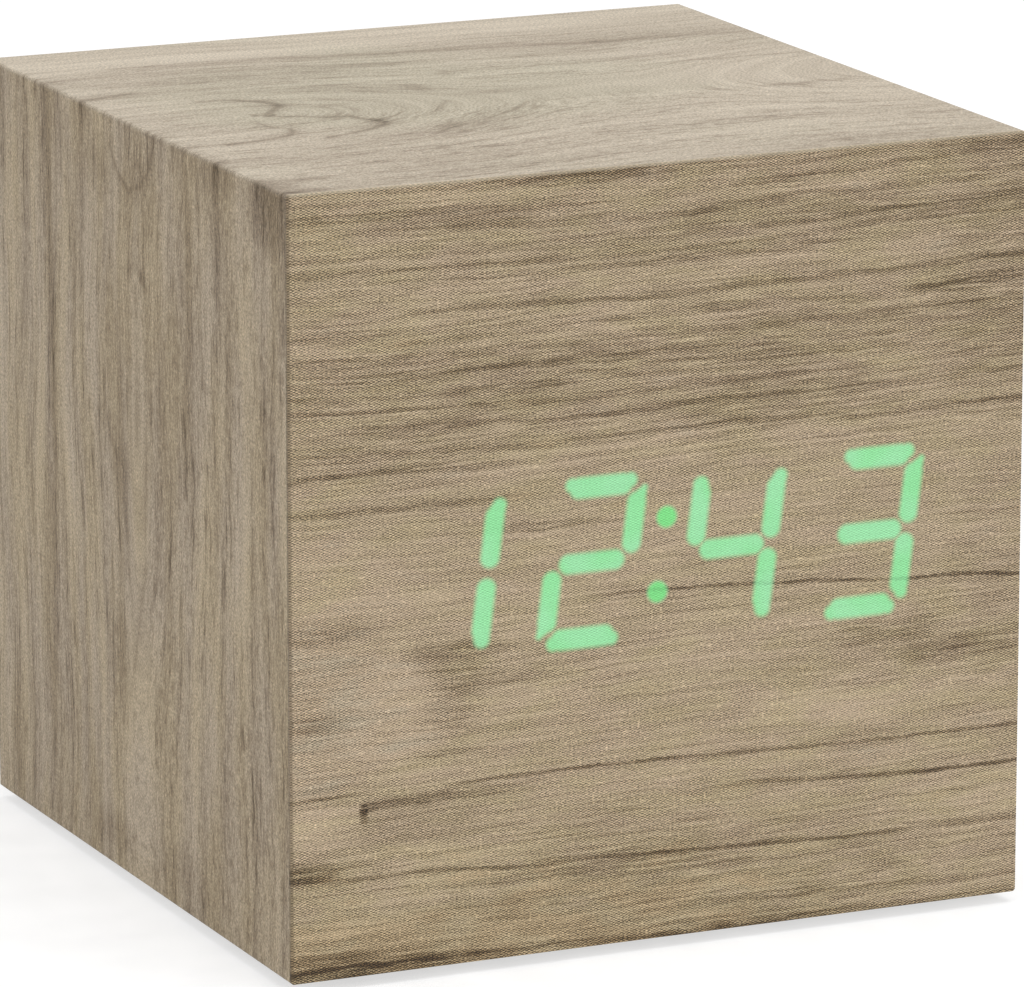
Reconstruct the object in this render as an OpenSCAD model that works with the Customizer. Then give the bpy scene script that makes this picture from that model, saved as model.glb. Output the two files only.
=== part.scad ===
// Cube-shaped digital alarm clock: a mitred wooden case under wood-print film, with slanted
// seven-segment numerals that shine through the front, controls at the rear and cells underneath.
// Millimetres. The front faces -Y, +Z is up, and the origin is on the table under the middle.

/* [Case] */
// Width of the case from side to side
case_w = 68; // [66:1:90]
// Depth of the case from the front film to the rear face
case_d = 68; // [66:1:90]
// Height of the wooden body above its feet
body_h = 67; // [62:1:90]
// Thickness of the four wall boards
wall_t = 4; // [3:0.5:5]
// Thickness of the front board
front_t = 3; // [2.5:0.25:4]
// Thickness of the rear panel
rear_t = 5; // [4.5:0.25:7]
// Thickness of the wood-print film
film_t = 0.3; // [0.2:0.05:0.5]

/* [Feet] */
// Radius of each foot
foot_r = 4; // [3:0.5:5]
// Height of each foot
foot_h = 1; // [0.5:0.25:3]
// Distance of a foot's middle from the faces of the case
foot_inset = 7.5; // [6:0.5:8]

/* [Display] */
// The four numerals that are lit
time_shown = [1, 2, 4, 3]; // [0:1:9]
// Distance between neighbouring numerals
digit_pitch = 13; // [12:0.1:13.5]
// Width of a numeral between the middles of its upright segments
digit_w = 7; // [6.5:0.1:7.5]
// Height of a numeral between the middles of its top and bottom segments
digit_h = 12.9; // [11:0.1:14]
// Width of a segment
seg_w = 1.85; // [1.7:0.05:2.2]
// Dark gap between neighbouring segments
seg_gap = 0.25; // [0.2:0.05:0.5]
// Rounding of a segment's blunt corners
seg_round = 0.65; // [0.3:0.05:0.7]
// Rounding of a numeral's two sharp tips, at its upper right and lower left, where the bar beside them is lit
tip_round = 0.25; // [0.15:0.05:0.4]
// Rounding of the other tips of the upright segments
blunt_round = 0.45; // [0.3:0.05:0.6]
// Reach of an upright segment's tip past its numeral where the bar beside it is dark
tip_reach = 0.45; // [0:0.05:0.5]
// Lean of the numerals to the right, in degrees
slant = 7.5; // [0:0.5:12]
// Radius of the colon's dots
dot_r = 1; // [0.9:0.05:1.1]
// Distance between the colon's dots
dot_pitch = 6.4; // [5:0.1:8]
// Height of the display's middle above the underside of the body
display_rise = 33.5; // [30:0.5:36]
// Depth of the lenses in the reflector
lens_t = 3; // [2:0.25:4]
// Depth of the reflector from its face to the display board
reflector_d = 6; // [5.5:0.25:8]
// Rim of the reflector around the numerals
reflector_rim = 2; // [1.5:0.25:3]
// Height of the screw lugs above and below the reflector
lug_h = 5; // [4:0.5:6]
// Thickness of the two circuit boards
pcb_t = 1.6; // [1:0.2:2]

/* [Controls] */
// Width of the control panel
panel_w = 56; // [54:1:60]
// Height of the control panel
panel_h = 32; // [30:1:36]
// Thickness of the control panel
panel_t = 2; // [1.5:0.25:2.5]
// Depth of the control panel's face below the rear face
panel_sink = 1; // [0.75:0.05:1.25]
// Rim of the control panel that rests on the rear panel
panel_rim = 4; // [3.5:0.25:4.5]
// Radius of the control panel's corners
panel_corner_r = 2; // [1:0.5:3]
// Height of the control panel's middle above the underside of the body
panel_rise = 30; // [29:0.5:36]
// Gap between the control panel and the main board
board_gap = 8; // [7.5:0.25:10]
// Radius of a push button
button_r = 2.25; // [1.75:0.25:2.75]
// Distance between push buttons
button_pitch = 8; // [7.5:0.25:8.5]
// Height of a button above the control panel
button_rise = 0.8; // [0.6:0.1:1.5]
// Travel of a button
button_travel = 0.5; // [0.25:0.05:0.8]
// Width of the sound switch's knob
knob_w = 2; // [1.5:0.25:2.5]
// Height of the sound switch's knob across its slot
knob_h = 2.2; // [1.8:0.1:2.6]
// Travel of the sound switch's knob
knob_travel = 2; // [1.5:0.25:2.5]
// Radius of the power socket's bore
socket_bore_r = 1.8; // [1.6:0.05:2]
// Radius of the power socket's centre pin
socket_pin_r = 0.65; // [0.5:0.05:0.8]

/* [Battery] */
// Diameter of a cell
cell_d = 10.5; // [10:0.1:11]
// Length of a cell with its button
cell_l = 44.5; // [43:0.25:45.5]
// Length of a contact spring under load
spring_l = 4.2; // [3.8:0.1:5]
// Wall of the battery box
box_wall = 1.5; // [1.2:0.1:2]
// Thickness of the battery door
door_t = 1.6; // [1.4:0.1:2]

/* [Fits] */
// Clearance around a piece that slips into another
slip = 0.2; // [0.1:0.05:0.3]
// Clearance around a screw or a pin in its hole
pin_fit = 0.05; // [0.02:0.01:0.1]
// Gap around the battery door
door_gap = 0.3; // [0.2:0.05:0.4]

/* [Hidden] */
$fn = 48;
cut = 1;

// Levels and planes of the case
base_z = foot_h;
middle_z = base_z + body_h / 2;
front_y = -case_d / 2;
board_y = front_y + film_t;
walls_front_y = board_y + front_t;
rear_y = case_d / 2;
walls_rear_y = rear_y - rear_t;
inner_w = case_w - 2 * film_t;
inner_h = body_h - 2 * film_t;
floor_z = base_z + film_t + wall_t;

// Display
display_z = base_z + display_rise;
seg_half = seg_w / 2;
half_w = digit_w / 2;
half_h = digit_h / 2;
miter = seg_gap / sqrt(2);
corner_steps = 4;
reflector_w = 3 * digit_pitch + digit_w + seg_w + (digit_h + seg_w) * tan(slant) + 2 * reflector_rim;
reflector_h = digit_h + seg_w + 2 * reflector_rim;
display_board_h = reflector_h + 2 * lug_h;
display_board_y = board_y + reflector_d;
display_back_y = display_board_y + pcb_t;
display_screw_x = reflector_w / 2 - lug_h / 2;
display_screw_z = reflector_h / 2 + lug_h / 2;
led_l = 1.6;
led_w = 0.8;
led_h = 0.7;
LIT = ["abcdef", "bc", "abdeg", "abcdg", "bcfg", "acdfg", "acdefg", "abc", "abcdefg", "abcdfg"];
SEGMENTS = ["a", "b", "c", "d", "e", "f", "g"];

// Screws
screw_r = 0.9;
screw_head_r = 1.7;
screw_head_h = 1.2;
slot_w = 0.5;
slot_depth = 0.6;
board_screw_bite = 2.2;
panel_screw_r = 0.8;
panel_screw_head_r = 1.6;
panel_screw_head_h = 0.9;
panel_screw_edge = 2.3;

// Control panel and main board
panel_z = base_z + panel_rise;
panel_y = rear_y - panel_sink;
panel_back_y = panel_y - panel_t;
opening_w = panel_w - 2 * panel_rim;
opening_h = panel_h - 2 * panel_rim;
board_margin = 0.5;
main_w = opening_w - 2 * board_margin;
main_h = opening_h - 2 * board_margin;
main_rear_y = panel_back_y - board_gap;
main_front_y = main_rear_y - pcb_t;
boss_r = 2;
boss_edge = 2.1;
boss_x = main_w / 2 - boss_edge;
boss_z = main_h / 2 - boss_edge;
upper_row = 3.5;
lower_row = 6;
button_flange_r = button_r + 0.75;
button_flange_h = 1.2;
button_seat = 0.1;
button_chamfer = 0.35;
button_stem_r = 1.2;
switch_body_w = 6;
switch_body_h = 3.5;
plunger_r = 1.75;
plunger_rise = 1.5;
plunger_sunk = 1;
plunger_play = 0.2;
sound_body_w = 9;
sound_body_h = 4.4;
sound_body_d = 4;
sound_x = -(opening_w / 2 - 1.5 - sound_body_w / 2);
knob_rise = 0.6;
knob_sunk = 1.5;
knob_side = 0.15;
socket_r = 3.75;
socket_nose_r = 3.2;
socket_floor = 1;
socket_pin_short = 1.5;
socket_x = opening_w / 2 - 2 - socket_r;
buzzer_r = 4.5;
buzzer_h = 5.5;
buzzer_hole_r = 1;
sound_hole_r = 0.6;
sound_hole_ring = 2.2;
sound_hole_count = 6;
microphone_x = -12;
microphone_r = 3;
microphone_h = 2.7;
microphone_hole_r = 0.75;
microphone_ring_t = 0.9;
lead_r = 0.25;

// Pieces on the inner face of the main board, as places from its middle
chip_w = 9;
chip_t = 1.5;
chip_z = -2;
chip_pins = 8;
chip_pin_pitch = 0.9;
chip_pin_w = 0.4;
chip_pin_l = 1;
chip_pin_t = 0.3;
driver_w = 12.8;
driver_h = 7.5;
driver_z = -4;
driver_pins = 10;
driver_pin_pitch = 1.2;
header_w = 13;
header_h = 4.6;
header_d = 6;
header_wall = 0.8;
header_open = 4;
main_header_z = main_h / 2 - 0.8 - header_h / 2;
display_header_z = 7;
ribbon_w = 10;
ribbon_t = 0.9;
ribbon_sag = 5;
ribbon_steps = 20;
crystal_r = 1;
crystal_l = 6;
crystal_x = 12;
crystal_z = 3.5;
capacitor_r = 2.5;
capacitor_h = 6.5;
capacitor_x = [8.5, 14.5];
capacitor_z = -3;
sensor_r = 1.2;
sensor_x = 18.5;
sensor_rise = 3;
sensor_lead_x = 0.6;
coin_d = 12.5;
coin_t = 2;
coin_x = -13.3;
holder_wall = 1.2;
holder_base = 0.8;
holder_gap_w = 6;

// Battery box, door and cells
cells_across = 3;
cell_gap = 0.7;
cell_pitch = cell_d + cell_gap;
cell_button_r = 1.9;
cell_button_h = 0.8;
plate_t = 0.3;
plate_play = 0.05;
tub_l = cell_l + spring_l + 2 * plate_t + plate_play;
tub_w = cells_across * cell_pitch;
ledge = 0.75;
recess_l = tub_l + 2 * ledge;
recess_w = tub_w + 2 * ledge;
collar_wall_x = 0.75;
collar_wall_y = 3.6;
collar_l = recess_l + 2 * collar_wall_x;
collar_w = recess_w + 2 * collar_wall_y;
door_sink = 0.1;
door_seat = 0.1;
door_l = recess_l - 2 * door_gap;
door_w = recess_w - 2 * door_gap;
door_corner_r = 1;
door_z = base_z + door_sink;
door_top_z = door_z + door_t;
ledge_z = door_top_z + door_seat;
hinge_z = door_top_z;
swing_r = hinge_z - base_z;
swing_room = 0.3;
hinge_back = swing_r + swing_room - door_gap;
hinge_y = -(recess_w / 2 + hinge_back);
hinge_x = 15;
hinge_pin_r = 0.75;
hinge_pin_l = 1.1;
knuckle_r = 0.9;
knuckle_w = 7;
knuckle_room = 0.25;
grip_l = 10;
grip_w = 0.8;
grip_depth = 0.4;
grip_count = 3;
grip_pitch = 1.8;
notch_r = 3;
latch_l = 6;
latch_x = 14;
latch_bite = door_gap - 0.08;
rib_w = 1.2;
rib_h = 1.2;
rib_l = 34;
cell_rest = 0.5;
cell_z = ledge_z + cell_rest + cell_d / 2;
cell_head = 0.3;
roof_z = cell_z + cell_d / 2 + cell_head + box_wall;
box_flange_t = 2;
box_ear = 5.5;
box_screw_x = 18;
box_screw_y = collar_w / 2 + box_ear / 2;
separator_w = 1.2;
separator_h = 2.8;
tab_w = 3;
tab_rise = 2.2;
tab_play = 0.15;
spring_wire_r = 0.3;
spring_turns = 3;
spring_wide_r = 3.4;
spring_narrow_r = 2.4;
rings_per_turn = 8;
spring_sides = 6;
lead_wire_r = 0.6;
lead_sides = 8;
lead_steps = 4;
lead_straight = 1.5;
pad_x = [4, 8];
pad_z = panel_z - main_h / 2 + 2;
red_bends = [[-17, -10.5, 17.5], [-8, -3, 18.5], [0, 8, 19.5]];
black_bends = [[17, 11.5, 17.5], [11, 13.5, 18.5]];

// Flat outlines

module rounded_rect(w, h, r) {
    square([w - 2 * r, h], center = true);
    square([w, h - 2 * r], center = true);
    for (x = [-1, 1], y = [-1, 1])
        translate([x * (w / 2 - r), y * (h / 2 - r)])
            circle(r);
}

// An upright outline, drawn as seen from the front, made solid between two depths
module upright(y0, y1) {
    translate([0, y1, 0])
        rotate([90, 0, 0])
            linear_extrude(height = y1 - y0)
                children();
}

// A level outline made solid between two heights
module level(z0, z1) {
    translate([0, 0, z0])
        linear_extrude(height = z1 - z0)
            children();
}

// A round rod along Y
module rod_y(r, y0, y1) {
    translate([0, y1, 0])
        rotate([90, 0, 0])
            cylinder(r = r, h = y1 - y0);
}

// A turned piece about Y, with its profile as radius and depth
module turned_y(profile) {
    rotate([-90, 0, 0])
        rotate_extrude()
            polygon(profile);
}

// A screw that points along -Z, with the underside of its head at zero
module pan_screw(r, head_r, head_h, bite) {
    difference() {
        union() {
            cylinder(r = head_r, h = head_h);
            translate([0, 0, -bite])
                cylinder(r = r, h = bite + head_h / 2);
        }
        for (turn = [0, 90])
            rotate(turn)
                translate([0, 0, head_h])
                    cube([1.4 * head_r, slot_w, 2 * slot_depth], center = true);
    }
}

// Corners of a closed outline replaced by arcs
function unit(v) = v / norm(v);
function corner_arc(p, before, after, r) =
    let (
        u = unit(before - p),
        v = unit(after - p),
        angle = acos(u * v),
        middle = p + unit(u + v) * r / sin(angle / 2),
        from = p + u * r / tan(angle / 2) - middle,
        to = p + v * r / tan(angle / 2) - middle,
        start = atan2(from[1], from[0]),
        sweep = (atan2(to[1], to[0]) - start + 540) % 360 - 180
    )
    [for (i = [0 : corner_steps])
        middle + r * [cos(start + sweep * i / corner_steps), sin(start + sweep * i / corner_steps)]];
function rounded(points, radii) =
    let (n = len(points))
    [for (i = [0 : n - 1])
        each corner_arc(points[i], points[(i + n - 1) % n], points[(i + 1) % n], radii[i])];

// Numerals: each segment is an upright outline about the middle of its numeral, then leans over
function flip_x(points) = [for (p = points) [-p[0], p[1]]];
function flip_z(points) = [for (p = points) [p[0], -p[1]]];
function lean(p) = [p[0] + p[1] * tan(slant), p[1]];
bar_top = [
    [-half_w - seg_half + miter, half_h + seg_half],
    [half_w + seg_half - miter, half_h + seg_half],
    [half_w - seg_half - miter, half_h - seg_half],
    [-half_w + seg_half + miter, half_h - seg_half]
];
bar_middle = [
    [-half_w + miter, 0],
    [-half_w + seg_half + miter, seg_half],
    [half_w - seg_half - miter, seg_half],
    [half_w - miter, 0],
    [half_w - seg_half - miter, -seg_half],
    [-half_w + seg_half + miter, -seg_half]
];
function post_upper(reach) = [
    [half_w + seg_half, half_h + reach],
    [half_w + seg_half, seg_half + miter],
    [half_w, miter],
    [half_w - seg_half, seg_half + miter],
    [half_w - seg_half, half_h - seg_half - miter]
];
function is_bar(segment) = segment == "a" || segment == "d" || segment == "g";
function is_lit(place, segment) = len(search(segment, LIT[time_shown[place]])) > 0;
function bar_beside(segment) = segment == "b" || segment == "f" ? "a" : "d";
function is_free(place, segment) = !is_lit(place, bar_beside(segment));
function segment_points(place, segment) =
    let (post = post_upper(is_free(place, segment) ? tip_reach : 0))
    segment == "a" ? bar_top :
    segment == "b" ? post :
    segment == "c" ? flip_z(post) :
    segment == "d" ? flip_z(bar_top) :
    segment == "e" ? flip_x(flip_z(post)) :
    segment == "f" ? flip_x(post) : bar_middle;
function has_sharp_tip(place, segment) =
    (segment == "b" || segment == "e") && !is_free(place, segment);
function tip_radius(place, segment) =
    is_bar(segment) ? seg_round :
    has_sharp_tip(place, segment) ? tip_round : blunt_round;
function segment_radii(place, segment) =
    [for (i = [0 : len(segment_points(place, segment)) - 1])
        i == 0 ? tip_radius(place, segment) : seg_round];
function segment_middle(segment) =
    segment == "a" ? [0, half_h] :
    segment == "b" ? [half_w, half_h / 2] :
    segment == "c" ? [half_w, -half_h / 2] :
    segment == "d" ? [0, -half_h] :
    segment == "e" ? [-half_w, -half_h / 2] :
    segment == "f" ? [-half_w, half_h / 2] : [0, 0];
function digit_x(place) = (place - 1.5) * digit_pitch;

module segment_outline(place, segment) {
    translate([digit_x(place), display_z])
        polygon(rounded([for (p = segment_points(place, segment)) lean(p)], segment_radii(place, segment)));
}

module colon_outline() {
    for (side = [-1, 1])
        translate(lean([0, side * dot_pitch / 2]) + [0, display_z])
            circle(dot_r);
}

module lit_outlines() {
    for (place = [0 : 3], segment = SEGMENTS)
        if (is_lit(place, segment))
            segment_outline(place, segment);
    colon_outline();
}

module at_display_screws() {
    for (x = [-1, 1], z = [-1, 1])
        translate([x * display_screw_x, 0, display_z + z * display_screw_z])
            children();
}

// Case

module case_outline() {
    translate([0, middle_z])
        rounded_rect(case_w, body_h, film_t);
}

module board_outline() {
    translate([0, middle_z])
        square([inner_w, inner_h], center = true);
}

module battery_opening() {
    level(base_z - cut, floor_z + cut)
        square([collar_l + 2 * slip, collar_w + 2 * slip], center = true);
}

module wrap_film() {
    color([0.72, 0.66, 0.57])
        difference() {
            upright(board_y, rear_y)
                case_outline();
            upright(board_y - cut, rear_y + cut)
                board_outline();
            battery_opening();
        }
}

module front_film() {
    color([0.63, 0.57, 0.47])
        difference() {
            upright(front_y, board_y)
                case_outline();
            upright(front_y - cut, board_y + cut)
                lit_outlines();
        }
}

module front_board() {
    color([0.66, 0.52, 0.36])
        difference() {
            upright(board_y, walls_front_y)
                board_outline();
            upright(board_y - cut, walls_front_y + cut)
                translate([0, display_z])
                    square([reflector_w + 2 * slip, reflector_h + 2 * slip], center = true);
            at_display_screws()
                rod_y(screw_r + pin_fit, walls_front_y - board_screw_bite, walls_front_y + cut);
        }
}

// A board with its two long edges mitred, drawn about the middle of the case
module mitred_outline(w, reach) {
    polygon([
        [-w / 2, reach], [w / 2, reach],
        [w / 2 - wall_t, reach - wall_t], [-w / 2 + wall_t, reach - wall_t]
    ]);
}

module wall_board(turn, w, reach) {
    upright(walls_front_y, walls_rear_y)
        translate([0, middle_z])
            rotate(turn)
                mitred_outline(w, reach);
}

module top_board() {
    color([0.66, 0.52, 0.36])
        wall_board(0, inner_w, inner_h / 2);
}

module left_board() {
    color([0.66, 0.52, 0.36])
        wall_board(90, inner_h, inner_w / 2);
}

module right_board() {
    color([0.66, 0.52, 0.36])
        wall_board(-90, inner_h, inner_w / 2);
}

module at_box_screws() {
    for (x = [-1, 1], y = [-1, 1])
        translate([x * box_screw_x, y * box_screw_y, floor_z])
            children();
}

module bottom_board() {
    color([0.66, 0.52, 0.36])
        difference() {
            wall_board(180, inner_w, inner_h / 2);
            battery_opening();
            at_box_screws()
                translate([0, 0, -board_screw_bite])
                    cylinder(r = screw_r + pin_fit, h = board_screw_bite + cut);
        }
}

module at_panel() {
    translate([0, 0, panel_z])
        children();
}

module at_panel_screws() {
    for (x = [-1, 1], z = [-1, 1])
        translate([x * (panel_w / 2 - panel_screw_edge), 0, z * (panel_h / 2 - panel_screw_edge)])
            children();
}

module rear_panel() {
    color([0.63, 0.57, 0.47])
        difference() {
            upright(walls_rear_y, rear_y)
                board_outline();
            at_panel() {
                upright(panel_back_y, rear_y + cut)
                    rounded_rect(panel_w + 2 * slip, panel_h + 2 * slip, panel_corner_r + slip);
                upright(walls_rear_y - cut, rear_y)
                    square([opening_w, opening_h], center = true);
                at_panel_screws()
                    rod_y(panel_screw_r + pin_fit, walls_rear_y - cut, rear_y);
            }
        }
}

module feet() {
    edge = foot_h / 4;
    color([0.12, 0.12, 0.12])
        for (x = [-1, 1], y = [-1, 1])
            translate([x * (case_w / 2 - foot_inset), y * (case_d / 2 - foot_inset), 0])
                rotate_extrude()
                    polygon([
                        [0, 0], [foot_r - edge, 0], [foot_r, edge], [foot_r, foot_h], [0, foot_h]
                    ]);
}

// Display

module reflector() {
    color([0.93, 0.93, 0.91])
        difference() {
            union() {
                upright(board_y, display_board_y)
                    translate([0, display_z])
                        square([reflector_w, reflector_h], center = true);
                upright(walls_front_y, display_board_y)
                    translate([0, display_z])
                        square([reflector_w, display_board_h], center = true);
            }
            upright(board_y - cut, display_board_y + cut) {
                for (place = [0 : 3], segment = SEGMENTS)
                    segment_outline(place, segment);
                colon_outline();
            }
            at_display_screws()
                rod_y(screw_r + pin_fit, walls_front_y - cut, display_board_y + cut);
        }
}

module lit_lenses() {
    color([0.49, 0.9, 0.56])
        upright(front_y, board_y + lens_t)
            lit_outlines();
}

module dark_lenses() {
    color([0.8, 0.82, 0.78])
        upright(board_y, board_y + lens_t)
            for (place = [0 : 3], segment = SEGMENTS)
                if (!is_lit(place, segment))
                    segment_outline(place, segment);
}

module led(middle, turn) {
    translate([middle[0], display_board_y, display_z + middle[1]])
        rotate([0, turn, 0])
            translate([-led_l / 2, -led_h, -led_w / 2])
                cube([led_l, led_h, led_w]);
}

module segment_leds() {
    color([0.95, 0.93, 0.7]) {
        for (place = [0 : 3], segment = SEGMENTS)
            led(lean(segment_middle(segment)) + [digit_x(place), 0], is_bar(segment) ? 0 : 90 + slant);
        for (side = [-1, 1])
            led(lean([0, side * dot_pitch / 2]), 0);
    }
}

module display_board() {
    color([0.1, 0.35, 0.2])
        difference() {
            upright(display_board_y, display_back_y)
                translate([0, display_z])
                    square([reflector_w, display_board_h], center = true);
            at_display_screws()
                rod_y(screw_r + pin_fit, display_board_y - cut, display_back_y + cut);
        }
}

module display_screws() {
    color([0.75, 0.75, 0.75])
        at_display_screws()
            translate([0, display_back_y, 0])
                rotate([-90, 0, 0])
                    pan_screw(screw_r, screw_head_r, screw_head_h,
                        display_back_y - walls_front_y + board_screw_bite - pin_fit);
}

// A flat chip on a board that faces +Z, with a row of legs on two sides
module chip(w, h, pins, pin_pitch) {
    translate([-w / 2, -h / 2, 0])
        cube([w, h, chip_t]);
    for (side = [-1, 1], i = [0 : pins - 1])
        translate([(i - (pins - 1) / 2) * pin_pitch, side * (h / 2 + chip_pin_l / 2), chip_pin_t / 2])
            cube([chip_pin_w, chip_pin_l, chip_pin_t], center = true);
}

module driver_chip() {
    color([0.1, 0.1, 0.1])
        translate([0, display_back_y, display_z + driver_z])
            rotate([-90, 0, 0])
                chip(driver_w, driver_h, driver_pins, driver_pin_pitch);
}

// A ribbon connector that stands on a board along +Z, open at its far end
module header(w, h, d) {
    difference() {
        translate([-w / 2, -h / 2, 0])
            cube([w, h, d]);
        translate([-w / 2 + header_wall, -h / 2 + header_wall, d - header_open])
            cube([w - 2 * header_wall, h - 2 * header_wall, header_open + cut]);
    }
}

module display_header() {
    color([0.92, 0.9, 0.84])
        translate([0, display_back_y, display_z + display_header_z])
            rotate([-90, 0, 0])
                header(header_w, header_h, header_d);
}

module main_header() {
    color([0.92, 0.9, 0.84])
        translate([0, main_front_y, panel_z + main_header_z])
            rotate([90, 0, 0])
                header(header_w, header_h, header_d);
}

// Ribbon cable: level at both connectors, hanging between them
ribbon_y0 = display_back_y + header_d - header_open;
ribbon_y1 = main_front_y - header_d + header_open;
ribbon_z0 = display_z + display_header_z;
ribbon_z1 = panel_z + main_header_z;
function ribbon_height(t) =
    ribbon_z0 + (ribbon_z1 - ribbon_z0) * (1 - cos(180 * t)) / 2
    - ribbon_sag * (1 - cos(360 * t)) / 2;
function ribbon_edge(side) =
    concat(
        [[ribbon_y0, ribbon_z0 + side * ribbon_t / 2]],
        [for (i = [0 : ribbon_steps])
            let (t = i / ribbon_steps)
            [ribbon_y0 + header_open + t * (ribbon_y1 - ribbon_y0 - 2 * header_open),
                ribbon_height(t) + side * ribbon_t / 2]],
        [[ribbon_y1, ribbon_z1 + side * ribbon_t / 2]]
    );
function reversed(list) = [for (i = [len(list) - 1 : -1 : 0]) list[i]];

module ribbon_cable() {
    color([0.7, 0.7, 0.72])
        translate([-ribbon_w / 2, 0, 0])
            rotate([90, 0, 90])
                linear_extrude(height = ribbon_w)
                    polygon(concat(ribbon_edge(1), reversed(ribbon_edge(-1))));
}

// Controls

function button_x(place) = place * button_pitch;
cap_foot_y = main_rear_y + switch_body_h + plunger_rise;
cap_flange_y = panel_back_y - button_seat;
plunger_foot_y = main_rear_y + switch_body_h - plunger_sunk;
knob_rest_x = sound_x - knob_travel / 2;
knob_room = knob_w + knob_travel + 2 * knob_side;

module at_buttons() {
    for (place = [-1 : 1])
        translate([button_x(place), 0, upper_row])
            children();
}

module at_bosses() {
    for (x = [-1, 1], z = [-1, 1])
        translate([x * boss_x, 0, z * boss_z])
            children();
}

module knob_slot(y0, y1) {
    upright(y0, y1)
        translate([sound_x, upper_row])
            square([knob_room, knob_h + 2 * knob_side], center = true);
}

module control_panel() {
    color([0.1, 0.1, 0.11])
        at_panel()
            difference() {
                union() {
                    upright(panel_back_y, panel_y)
                        rounded_rect(panel_w, panel_h, panel_corner_r);
                    at_bosses()
                        rod_y(boss_r, main_rear_y, panel_back_y + cut);
                    translate([microphone_x, 0, -lower_row])
                        rod_y(microphone_r + slip + microphone_ring_t, panel_back_y - microphone_h,
                            panel_back_y + cut);
                }
                at_buttons()
                    rod_y(button_r + slip, panel_back_y - cut, panel_y + cut);
                knob_slot(panel_back_y - cut, panel_y + cut);
                translate([socket_x, 0, upper_row])
                    rod_y(socket_nose_r + slip, panel_back_y - cut, panel_y + cut);
                translate([microphone_x, 0, -lower_row]) {
                    rod_y(microphone_r + slip, panel_back_y - microphone_h - cut, panel_back_y);
                    rod_y(microphone_hole_r, panel_back_y - cut, panel_y + cut);
                }
                for (i = [0 : sound_hole_count - 1])
                    translate([sound_hole_ring * cos(360 * i / sound_hole_count), 0,
                        sound_hole_ring * sin(360 * i / sound_hole_count) - lower_row])
                        rod_y(sound_hole_r, panel_back_y - cut, panel_y + cut);
                translate([0, 0, -lower_row])
                    rod_y(sound_hole_r, panel_back_y - cut, panel_y + cut);
                at_bosses()
                    rod_y(screw_r + pin_fit, main_rear_y - cut, panel_back_y - cut);
                at_panel_screws() {
                    rod_y(panel_screw_r + pin_fit, panel_back_y - cut, panel_y);
                    translate([0, panel_y, 0])
                        turned_y([
                            [0, -panel_screw_head_h - pin_fit],
                            [panel_screw_r + pin_fit, -panel_screw_head_h - pin_fit],
                            [panel_screw_head_r + pin_fit, 0],
                            [panel_screw_head_r + pin_fit, cut], [0, cut]
                        ]);
                }
            }
}

module panel_screws() {
    bite = panel_y - walls_rear_y - pin_fit;
    color([0.2, 0.2, 0.2])
        at_panel()
            at_panel_screws()
                translate([0, panel_y, 0])
                    difference() {
                        turned_y([
                            [0, -bite], [panel_screw_r, -bite], [panel_screw_r, -panel_screw_head_h],
                            [panel_screw_head_r, 0], [0, 0]
                        ]);
                        for (turn = [0, 90])
                            rotate([0, turn, 0])
                                cube([1.3 * panel_screw_head_r, 2 * slot_depth, slot_w], center = true);
                    }
}

module button_cap(place) {
    color([0.16, 0.16, 0.17])
        at_panel()
            translate([button_x(place), 0, upper_row])
                turned_y([
                    [0, cap_foot_y], [button_stem_r, cap_foot_y],
                    [button_stem_r, cap_flange_y - button_flange_h],
                    [button_flange_r, cap_flange_y - button_flange_h],
                    [button_flange_r, cap_flange_y], [button_r, cap_flange_y],
                    [button_r, panel_y + button_rise - button_chamfer],
                    [button_r - button_chamfer, panel_y + button_rise], [0, panel_y + button_rise]
                ]);
}

module set_button() {
    button_cap(1);
}

module up_button() {
    button_cap(0);
}

module down_button() {
    button_cap(-1);
}

module plunger(place) {
    color([0.3, 0.3, 0.32])
        at_panel()
            translate([button_x(place), 0, upper_row])
                rod_y(plunger_r, plunger_foot_y, cap_foot_y);
}

module set_plunger() {
    plunger(1);
}

module up_plunger() {
    plunger(0);
}

module down_plunger() {
    plunger(-1);
}

module switch_bodies() {
    color([0.72, 0.72, 0.7])
        at_panel()
            at_buttons()
                difference() {
                    upright(main_rear_y, main_rear_y + switch_body_h)
                        square(switch_body_w, center = true);
                    rod_y(plunger_r + pin_fit, plunger_foot_y - button_travel - plunger_play,
                        main_rear_y + switch_body_h + cut);
                }
}

module sound_knob() {
    color([0.85, 0.85, 0.83])
        at_panel()
            upright(main_rear_y + sound_body_d - knob_sunk, panel_y + knob_rise)
                translate([knob_rest_x, upper_row])
                    square([knob_w, knob_h], center = true);
}

module sound_switch_body() {
    color([0.75, 0.76, 0.78])
        at_panel()
            difference() {
                upright(main_rear_y, main_rear_y + sound_body_d)
                    translate([sound_x, upper_row])
                        square([sound_body_w, sound_body_h], center = true);
                knob_slot(main_rear_y + sound_body_d - knob_sunk - knob_side,
                    main_rear_y + sound_body_d + cut);
            }
}

module power_socket() {
    floor_y = main_rear_y + socket_floor;
    color([0.08, 0.08, 0.08])
        at_panel()
            translate([socket_x, 0, upper_row])
                turned_y([
                    [socket_pin_r + pin_fit, main_rear_y], [socket_r, main_rear_y],
                    [socket_r, panel_back_y], [socket_nose_r, panel_back_y], [socket_nose_r, panel_y],
                    [socket_bore_r, panel_y], [socket_bore_r, floor_y], [socket_pin_r + pin_fit, floor_y]
                ]);
}

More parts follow.
